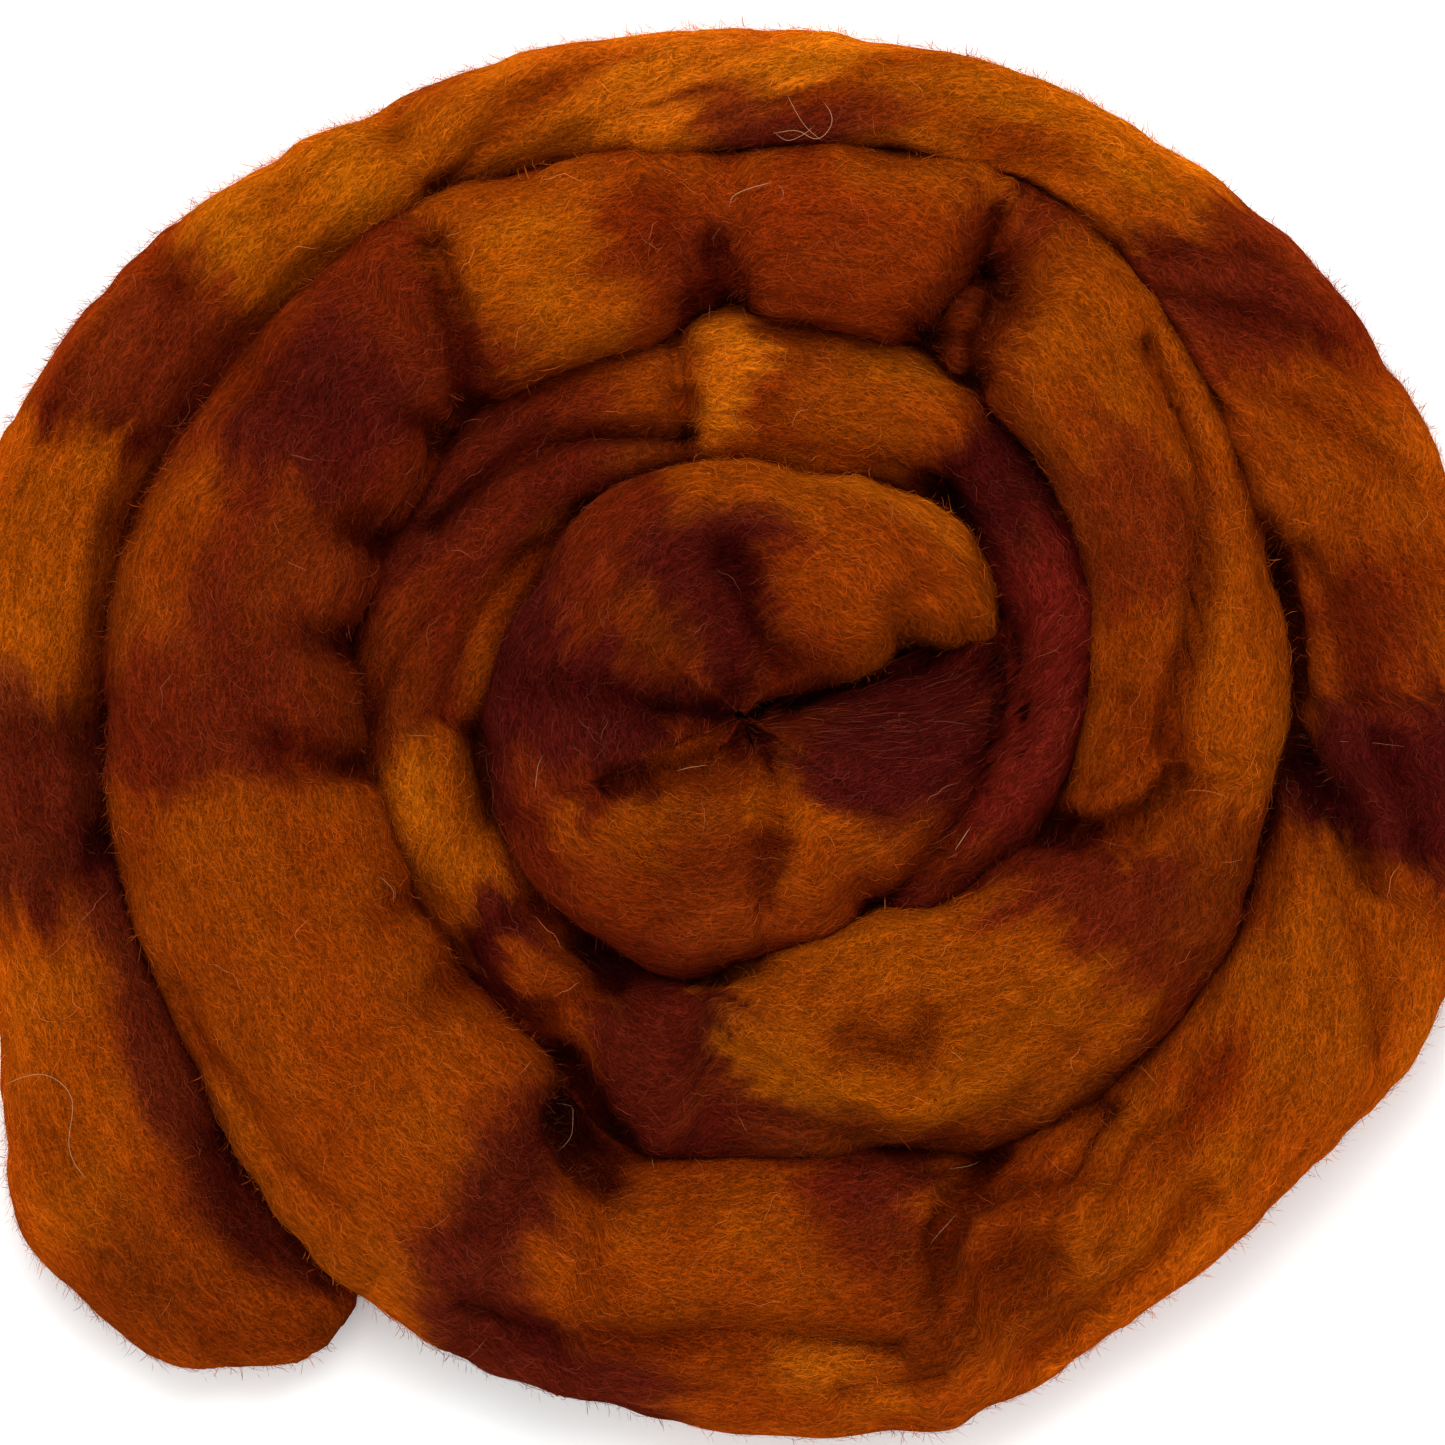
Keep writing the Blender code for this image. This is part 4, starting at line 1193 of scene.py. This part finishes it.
@dataclass(frozen=True)
class WoolFinish:
    """Matt dyed wool. The body and the fibres on it share the dye with its painted shade and glow, and only
    the body has the grain.

    Attributes:
        name: the material's name.
        grain: True for the body.
        darkest: brightness of the gaps in the grain, beside the plain dye.
        lightest: brightness of its curls.
        roughness: how matt it is.
        specular: how much it shines.
        bump: strength of the grain's relief.
        bump_distance: its height in metres.
    """

    name: str
    grain: bool
    darkest: float = 0.45
    lightest: float = 1.5
    roughness: float = 1.0
    specular: float = 0.0
    bump: float = 1.0
    bump_distance: float = 0.0006

    def material(self) -> bpy.types.Material:
        """Build the material.

        Returns:
            The material.
        """
        made = bpy.data.materials.new(self.name)
        made.use_nodes = True
        nodes = NodeTree(made.node_tree)
        shader = made.node_tree.nodes["Principled BSDF"]
        shader.inputs["Roughness"].default_value = self.roughness
        shader.inputs["Specular IOR Level"].default_value = self.specular
        dye = nodes.add("ShaderNodeAttribute", attribute_name=DYE_AND_PAINTED_LIGHT_LAYER)
        if self.grain:
            self._add_grain(nodes, dye.outputs["Color"], shader)
        else:
            nodes.join(dye.outputs["Color"], shader.inputs["Base Color"])
        return made

    def _add_grain(self, nodes: NodeTree, dye: bpy.types.NodeSocket, shader: bpy.types.Node) -> None:
        """Lay the grain over the dye and into the relief.

        Args:
            nodes: the material's nodes.
            dye: the socket of the dye, with its painted shade and glow.
            shader: the wool's shader.
        """
        flow = nodes.add("ShaderNodeUVMap", uv_map=FLOW_MAP)
        grain = nodes.add("ShaderNodeGroup", node_tree=WoolGrain.group())
        nodes.join(flow.outputs["UV"], grain.inputs["Flow"])
        spread = nodes.math("MULTIPLY", grain.outputs["Tone"], self.lightest - self.darkest)
        toned = nodes.add("ShaderNodeVectorMath", operation="SCALE")
        nodes.join(dye, toned.inputs[0])
        nodes.join(nodes.math("ADD", spread, self.darkest), toned.inputs["Scale"])
        nodes.join(toned.outputs["Vector"], shader.inputs["Base Color"])
        bump = nodes.add("ShaderNodeBump")
        bump.inputs["Strength"].default_value = self.bump
        bump.inputs["Distance"].default_value = self.bump_distance
        nodes.join(grain.outputs["Height"], bump.inputs["Height"])
        nodes.join(bump.outputs["Normal"], shader.inputs["Normal"])


@dataclass
class StrandBody:
    """The body of the strand: one closed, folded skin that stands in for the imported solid.

    Attributes:
        form: the strand's skin.
        map_strips: strips into which the bake map cuts the long skin.
        map_margin: free room beside each strip, as a share of its width.
        fill: how stiff the padded body is.
    """

    form: StrandForm
    map_strips: int = 4
    # fill: how stiff the padded body is; not used.
    map_margin: float = 0.02
    fill: float = 0.3

    def build(self) -> bpy.types.Object:
        """Make the skin and dress it.

        Returns:
            The finished piece.
        """
        rows, columns = self.form.rows, self.form.columns
        row, column = np.meshgrid(np.arange(rows - 1), np.arange(columns), indexing="ij")
        beside = (column + 1) % columns
        near, far = row * columns, (row + 1) * columns
        faces = np.stack((near + column, far + column, far + beside, near + beside), axis=-1).reshape(-1, 4)
        points = self.form.placed(self.form.points).reshape(-1, 3)
        piece = build_mesh("roving_body", points, faces, self.form.colours.reshape(-1, 3))
        self._close_ends(piece)
        corners = np.empty(len(piece.data.loops), dtype=np.int32)
        piece.data.loops.foreach_get("vertex_index", corners)
        flow = np.stack((self.form.along, self.form.across), axis=-1).reshape(-1, 2) * MM
        add_map(piece, FLOW_MAP, flow[corners])
        add_map(piece, BAKE_MAP, self._sheet_places()[corners])
        piece.data.materials.append(WoolFinish("wool body", grain=True).material())
        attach(piece, ROOT)
        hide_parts(NODE)
        return piece

    def _close_ends(self, piece: bpy.types.Object) -> None:
        """Fill the two open ends of the sweep.

        Args:
            piece: the strand's body.
        """
        bpy.ops.object.select_all(action="DESELECT")
        bpy.context.view_layer.objects.active = piece
        piece.select_set(True)
        bpy.ops.object.mode_set(mode="EDIT")
        bpy.ops.mesh.select_all(action="DESELECT")
        bpy.ops.mesh.select_mode(type="EDGE")
        bpy.ops.mesh.select_non_manifold()
        bpy.ops.mesh.edge_face_add()
        bpy.ops.mesh.select_all(action="SELECT")
        bpy.ops.mesh.normals_make_consistent(inside=False)
        bpy.ops.object.mode_set(mode="OBJECT")
        piece.select_set(False)

    def _sheet_places(self) -> np.ndarray:
        """Lay the long skin on a square sheet as a few strips, one above the other.

        Returns:
            A place on the sheet for each grid point.
        """
        rows, columns = self.form.rows, self.form.columns
        run = np.arange(rows) / (rows - 1) * self.map_strips
        strip = np.minimum(run.astype(int), self.map_strips - 1)
        along = np.repeat((run - strip)[:, None], columns, axis=1)
        over = np.arange(columns)[None, :] / columns
        up = (strip[:, None] + self.map_margin + (1.0 - 2.0 * self.map_margin) * over) / self.map_strips
        return np.stack((along, up), axis=-1).reshape(-1, 2)


@dataclass(frozen=True)
class FibreKind:
    """Sizes of one kind of fibre, in millimetres.

    Attributes:
        length: shortest and longest.
        width: thinnest and thickest.
        lift: least and greatest height of its raised end or arch above the skin.
        arch: True if both ends lie on the skin.
        stray: spread of its direction round the combed one, in degrees.
        crimp: height of its waves.
        wave: length of its waves.
        pale: how much undyed wool shows in its shine.
    """

    length: tuple[float, float]
    width: tuple[float, float]
    lift: tuple[float, float]
    arch: bool
    stray: float
    crimp: float
    wave: float
    pale: float


LYING = FibreKind((5.0, 11.0), (0.07, 0.12), (0.15, 1.2), True, 32.0, 0.34, 3.4, 0.035)
STANDING = FibreKind((3.0, 6.0), (0.06, 0.1), (0.5, 2.8), False, 60.0, 0.34, 3.0, 0.04)
FRINGE = FibreKind((2.5, 7.0), (0.09, 0.15), (0.5, 4.4), False, 65.0, 0.35, 2.8, 0.06)
STRAY = FibreKind((8.0, 17.0), (0.07, 0.1), (0.8, 2.6), True, 75.0, 0.5, 7.0, 0.25)


@dataclass(frozen=True)
class Stretch:
    """A stretch of the strand between two winding angles, and how many fibres of each kind lie on it."""

    name: str
    start: float
    end: float
    lying: int
    standing: int
    fringe: int
    seed: int
    stray: int = 120


STRETCHES = (
    Stretch("fleece_ball", START_ANGLE, 520.0, 10200, 2200, 1300, 31),
    Stretch("fleece_second", 520.0, 850.0, 10200, 2200, 1300, 32),
    Stretch("fleece_third", 850.0, 1085.0, 8300, 1900, 3500, 33),
    Stretch("fleece_outer", 1085.0, END_ANGLE, 6500, 1200, 6000, 34),
)


@dataclass
class Fleece:
    """The loose fibres on one stretch of the strand, joined into one mesh.

    Attributes:
        form: the strand's skin.
        stretch: where the fibres lie, and how many.
        joints: points along a fibre.
    """

    form: StrandForm
    stretch: Stretch
    joints: int = 8

    BEND = 55.0             # spread of how far a fibre bends over its length, in degrees
    ROLL = 0.45             # spread of how far its flat side tips over
    TIP = 0.12              # width of its ends, beside its middle
    TIP_SHARE = 0.25        # share of its length over which it narrows to them
    CLEARANCE = 0.05        # least height above the skin
    FLOOR_CLEARANCE = 0.15  # least height above the table
    UP_RANGE = 0.35         # where the skin turns under, roots thin out until its normal points down so far
    EDGE_SLOPE = 0.12       # how far the normal points up on the steep edges where the fringe grows
    EDGE_RANGE = 0.22       # and how much more or less it may
    EDGE_LEVEL = 8.0        # the fringe grows above this height
    LEAST_STEP = 0.25       # where the grid is finer than this, fibres are measured as if it weren't
    RAISE_POWER = 1.4       # 1 raises a loose end evenly, and more bends it up towards its tip
    PLAIN_SHINE = 0.8       # brightness of the dullest fibre, beside the skin's
    SHINE_RANGE = 1.2       # and what the brightest adds

    def build(self, finish: bpy.types.Material) -> bpy.types.Object:
        """Lay the fibres and join them.

        Args:
            finish: the fibres' material.

        Returns:
            The finished piece.
        """
        stretch = self.stretch
        self.random = np.random.default_rng(stretch.seed)
        self.facing = self.form.normals()
        counts = (stretch.lying, stretch.standing, stretch.fringe, stretch.stray)
        laid = [self._lay(kind, count) for kind, count in zip((LYING, STANDING, FRINGE, STRAY), counts)]
        ribbons = np.concatenate([ribbon for ribbon, _ in laid])
        dyes = np.concatenate([dye for _, dye in laid])
        return join_ribbons(stretch.name, self.form.placed(ribbons), dyes, finish)

    def _roots(self, count: int, edge: bool) -> tuple[np.ndarray, np.ndarray]:
        """Pick roots on the skin, even over the area that faces up, or over its edges.

        Args:
            count: how many.
            edge: True for the steep edges alone.

        Returns:
            Fractional rows and columns.
        """
        form = self.form
        first, last = np.searchsorted(form.angles, (self.stretch.start, self.stretch.end))
        down = np.linalg.norm(np.diff(form.points, axis=0), axis=-1)[first:last - 1, :-1]
        over = np.linalg.norm(np.diff(form.points, axis=1), axis=-1)[first:last - 1, :]
        up = self.facing[first:last - 1, :-1, 2]
        weight = down * over * np.clip((up + self.UP_RANGE) / self.UP_RANGE, 0.0, 1.0)
        if edge:
            steep = np.abs(up - self.EDGE_SLOPE) < self.EDGE_RANGE
            weight = down * over * steep * (form.points[first:last - 1, :-1, 2] > self.EDGE_LEVEL)
        weight[:, form.columns - form.bottom_columns - 1:] = 0.0
        odds = weight.ravel() / weight.sum()
        cells = self.random.choice(odds.size, size=count, p=odds)
        row = cells // weight.shape[1] + first + self.random.random(count)
        column = cells % weight.shape[1] + self.random.random(count)
        return row, column

    def _lines(self, kind: FibreKind, row: np.ndarray, column: np.ndarray) -> tuple[np.ndarray, np.ndarray]:
        """Lead the fibres' middle lines over the skin.

        Args:
            kind: the fibres' sizes.
            row: fractional rows of their roots.
            column: fractional columns of their roots.

        Returns:
            The joints of each line, and the skin's normals there.
        """
        form, random, count = self.form, self.random, len(row)
        length = random.uniform(*kind.length, count)
        lift = random.uniform(0.0, 1.0, count) ** 2 * (kind.lift[1] - kind.lift[0]) + kind.lift[0]
        aim = np.radians(random.normal(0.0, kind.stray, count))
        bend = np.radians(random.normal(0.0, self.BEND, count))
        drift = np.arctan(form.drift.at(np.interp(row, np.arange(form.rows), form.angles)))
        step = np.linspace(0.0, 1.0, self.joints)[None, :]
        heading = (aim - drift)[:, None] + bend[:, None] * (step - 0.5)
        wave = 2 * np.pi * length[:, None] * step / kind.wave + random.uniform(0, 2 * np.pi, (count, 1))
        pace = (length / self.joints)[:, None]
        ahead = np.cumsum(np.cos(heading), axis=1) * pace
        aside = np.cumsum(np.sin(heading), axis=1) * pace + kind.crimp * np.sin(wave)
        rows = row[:, None] + (ahead - ahead[:, -1:] / 2) / self._grid_step(row, column, 0)[:, None]
        columns = column[:, None] + (aside - aside[:, -1:] / 2) / self._grid_step(row, column, 1)[:, None]
        columns = np.clip(columns, 0.0, form.columns - form.bottom_columns - 1.01)
        facing = read_grid(self.facing, rows, columns)
        raised = np.sin(np.pi * step) if kind.arch else step ** self.RAISE_POWER
        curl = 0.5 * kind.crimp * (1 + np.cos(wave)) * step * (1.2 - step)
        height = lift[:, None] * raised + self.CLEARANCE + curl
        middle = read_grid(form.points, rows, columns) + facing * height[..., None]
        middle[..., 2] = np.maximum(middle[..., 2], self.FLOOR_CLEARANCE)
        return middle, facing

    def _lay(self, kind: FibreKind, count: int) -> tuple[np.ndarray, np.ndarray]:
        """Lay fibres of one kind.

        Args:
            kind: the fibres' sizes.
            count: how many.

        Returns:
            Their ribbons, by fibre, joint and edge, and their dyes, which carry the skin's painted shade and
            glow.
        """
        row, column = self._roots(count, kind is FRINGE)
        middle, facing = self._lines(kind, row, column)
        roll = self.random.normal(0.0, self.ROLL, (count, 1, 1))
        side = unit(np.cross(np.gradient(middle, axis=1), facing)) + facing * roll
        step = np.linspace(0.0, 1.0, self.joints)[None, :]
        taper = np.clip(np.minimum(step, 1.0 - step) / self.TIP_SHARE, self.TIP, 1.0)[..., None]
        half = self.random.uniform(*kind.width, (count, 1, 1)) / 2 * taper
        shine = self.random.random((count, 1)) ** 2
        # the fibres take the skin's colour, painted shade and glow included
        dyes = read_grid(self.form.colours, row, column) * (self.PLAIN_SHINE + self.SHINE_RANGE * shine)
        dyes = dyes + np.array(Dye.PALE.value) * kind.pale * shine
        return np.stack((middle - side * half, middle + side * half), axis=2), np.clip(dyes, 0.0, 1.0)

    def _grid_step(self, row: np.ndarray, column: np.ndarray, way: int) -> np.ndarray:
        """Measure the grid near the roots.

        Args:
            row: fractional rows.
            column: fractional columns.
            way: 0 along the strand, 1 across it.

        Returns:
            Millimetres for each grid step there.
        """
        points = self.form.points
        ahead = read_grid(points, row + (way == 0), column + (way == 1))
        return np.maximum(np.linalg.norm(ahead - read_grid(points, row, column), axis=-1), self.LEAST_STEP)


@dataclass(frozen=True)
class Hair:
    """A long undyed hair that lies over the coil, with its line in plan, in the frame."""

    name: str
    width: float
    line: tuple[tuple[float, float], ...]


HAIRS = (
    Hair("curl at the top", 0.123,
         ((10.0, 154.8), (16.5, 155.9), (20.7, 153.0), (23.8, 154.8), (25.6, 159.0), (22.7, 163.4))),
    Hair("second curl at the top", 0.1, ((13.6, 165.0), (18.1, 156.9), (22.7, 153.0))),
    Hair("third curl at the top", 0.1, ((10.0, 155.4), (13.6, 153.0), (18.1, 154.8), (20.7, 156.9))),
    Hair("pale hair under it", 0.138, ((-1.4, 135.3), (-0.9, 137.7), (2.7, 139.8), (9.5, 141.8))),
    Hair("its hooked end", 0.108, ((11.3, 141.1), (12.6, 139.0), (12.2, 137.2))),
    Hair("straight pale hair", 0.154, ((57.1, -30.5), (61.2, -24.3))),
    Hair("hair on the dome", 0.123, ((-15.2, -10.0), (-11.6, -9.0), (-6.9, -8.4))),
    Hair("hair left of the dome", 0.092, ((-51.4, -14.9), (-50.6, -8.4), (-49.3, -5.8))),
    Hair("loop on the tail", 0.123,
         ((-189.7, -91.6), (-180.1, -88.0), (-171.2, -95.3), (-173.0, -108.5), (-168.1, -115.8))),
    Hair("arc on the left", 0.108, ((-92.2, -37.0), (-89.8, -39.1), (-88.3, -41.5), (-88.5, -44.0))),
    Hair("hair over the dark hollow", 0.108,
         ((-46.5, -96.8), (-42.3, -98.1), (-42.5, -105.4), (-45.9, -108.8))),
    Hair("hair over the fold", 0.108, ((50.8, -132.7), (55.5, -128.0), (57.8, -125.4))),
    Hair("hair under the seam", 0.108, ((56.0, -113.5), (60.5, -113.2), (64.6, -111.9))),
    Hair("hair in the burgundy", 0.1, ((-5.9, 127.4), (-4.4, 129.5), (-3.4, 130.4))),
)


@dataclass
class StrayHairs:
    """The long pale hairs, each a thin ribbon just above the wool.

    Attributes:
        form: the strand's skin.
        joints: points along a hair.
        clearance: how far it lies above the wool.
        reach: how far round a place the wool's height is read, in millimetres.
        brightness: how bright the undyed wool looks, beside its full colour.
        tip: width of its ends, beside its middle.
        tip_length: length over which it narrows to them.
        upper_rise: the wool counts as its upper side above this share of its height.
        bends: joints over which its line is smoothed.
        sags: joints over which its height is smoothed.
    """

    form: StrandForm
    joints: int = 24
    clearance: float = 1.3
    reach: float = 2.5
    brightness: float = 0.55
    tip: float = 0.25
    tip_length: float = 3.0
    upper_rise: float = 0.3
    bends: int = 5
    sags: int = 7

    def build(self, finish: bpy.types.Material) -> bpy.types.Object:
        """Lay the hairs and join them.

        Args:
            finish: the fibres' material.

        Returns:
            The finished piece.
        """
        self.tops = self.form.points[self.form.rise > self.upper_rise]
        ribbons = np.stack([self._ribbon(hair) for hair in HAIRS])
        dyes = np.full((len(HAIRS), 3), self.brightness) * np.array(Dye.PALE.value)
        return join_ribbons("stray_hairs", ribbons * MM, dyes, finish)

    def _ribbon(self, hair: Hair) -> np.ndarray:
        """Bend one hair over the wool.

        Args:
            hair: the hair.

        Returns:
            Its left and right edges, in millimetres, in the frame.
        """
        LOG.debug("hair: %s", hair.name)
        corners = np.array(hair.line, dtype=float)
        run = np.concatenate(([0.0], np.cumsum(np.linalg.norm(np.diff(corners, axis=0), axis=1))))
        table = tuple((place, *corner) for place, corner in zip(run, corners))
        even = np.linspace(0.0, run[-1], self.joints)
        plan = np.stack((Curve(table, 1).at(even), Curve(table, 2).at(even)), axis=-1)
        soft = np.stack([running_mean(line, self.bends) for line in plan.T], axis=-1)
        soft[0], soft[-1] = plan[0], plan[-1]
        level = running_mean(np.array([self._level(place - AXIS_PLACE) for place in soft]), self.sags)
        middle = np.concatenate((soft, level[:, None] + self.clearance), axis=1)
        way = unit(np.gradient(soft, axis=0))
        taper = np.clip(np.minimum(even, run[-1] - even) / self.tip_length, self.tip, 1.0)
        half = (hair.width / 2 * taper)[:, None]
        side = np.stack((-way[:, 1], way[:, 0], np.zeros(self.joints)), axis=-1) * half
        return np.stack((middle - side, middle + side), axis=1)

    def _level(self, place: np.ndarray) -> float:
        """Height of the wool's upper side at a place in plan, in millimetres."""
        near = np.linalg.norm(self.tops[:, :2] - place, axis=1) < self.reach
        return float(self.tops[near, 2].max()) if near.any() else 0.0


@dataclass
class Studio:
    """Pale floor, soft light and the camera straight above.

    Attributes:
        frame_width: what the picture shows across, at the height of the crests.
        view_place: the point of the frame under the camera.
        crest_level: height of the crests.
        camera_height: height of the camera.
        sensor: width of its sensor.
        lamp_place: where the soft box hangs.
        lamp_size: width of the soft box.
        lamp_power: its power in watts.
        sky_strength: brightness of the white surroundings.
        floor_size: width of the table top.
        floor_colour: its colour.
        floor_roughness: how matt it is.
    """

    frame_width: float = 0.3757
    view_place: tuple[float, float] = (-0.00313, 0.00262)
    crest_level: float = 0.035
    camera_height: float = 2.2
    sensor: float = 0.036
    lamp_place: tuple[float, float, float] = (-0.15, 0.95, 1.6)
    lamp_size: float = 1.0
    lamp_power: float = 20.0
    sky_strength: float = 1.2
    floor_size: float = 9.0
    floor_colour: tuple[float, float, float, float] = (0.92, 0.92, 0.91, 1.0)
    floor_roughness: float = 0.8

    def build(self) -> None:
        """Make the stage."""
        self._floor()
        self._lamp()
        self._sky()
        self._camera()
        bpy.context.scene.view_settings.view_transform = "Standard"

    def _floor(self) -> None:
        """Lay a pale table top."""
        bpy.ops.object.select_all(action="DESELECT")
        bpy.ops.mesh.primitive_plane_add(size=self.floor_size, location=(0.0, 0.0, 0.0))
        floor = bpy.context.object
        floor.name = "floor"
        material = bpy.data.materials.new("pale table")
        material.use_nodes = True
        shader = material.node_tree.nodes["Principled BSDF"]
        shader.inputs["Base Color"].default_value = self.floor_colour
        shader.inputs["Roughness"].default_value = self.floor_roughness
        floor.data.materials.append(material)

    def _lamp(self) -> None:
        """Hang a square soft box that is aimed at the coil."""
        data = bpy.data.lights.new("soft box", "AREA")
        data.size = self.lamp_size
        data.energy = self.lamp_power
        light = bpy.data.objects.new("soft box", data)
        light.location = self.lamp_place
        light.rotation_euler = (-Vector(self.lamp_place)).to_track_quat("-Z", "Y").to_euler()
        light.visible_camera = False
        bpy.context.scene.collection.objects.link(light)

    def _sky(self) -> None:
        """Put even white surroundings round the coil."""
        world = bpy.data.worlds.new("studio")
        world.use_nodes = True
        background = world.node_tree.nodes["Background"]
        background.inputs["Color"].default_value = (1.0, 1.0, 1.0, 1.0)
        background.inputs["Strength"].default_value = self.sky_strength
        bpy.context.scene.world = world

    def _camera(self) -> None:
        """Set the camera straight above the coil."""
        data = bpy.data.cameras.new("camera")
        data.sensor_width = self.sensor / MM
        reach = self.camera_height - self.crest_level
        data.lens = self.sensor / MM * reach / self.frame_width
        camera = bpy.data.objects.new("camera", data)
        camera.location = (*self.view_place, self.camera_height)
        bpy.context.scene.collection.objects.link(camera)
        bpy.context.scene.camera = camera


def main() -> None:
    """Build the stage, the roving's body, its fibres and the stray hairs."""
    logging.basicConfig(level=logging.INFO, format="%(name)s: %(message)s")
    Studio().build()
    form = StrandForm()
    LOG.info("strand is %.0f mm long", form.length)
    pieces = [StrandBody(form).build()]
    finish = WoolFinish("wool fibres", grain=False).material()
    pieces += [Fleece(form, stretch).build(finish) for stretch in STRETCHES]
    pieces.append(StrayHairs(form).build(finish))
    for piece in pieces:
        LOG.info("%s: %d faces", piece.name, len(piece.data.polygons))


if __name__ == "__main__":
    main()
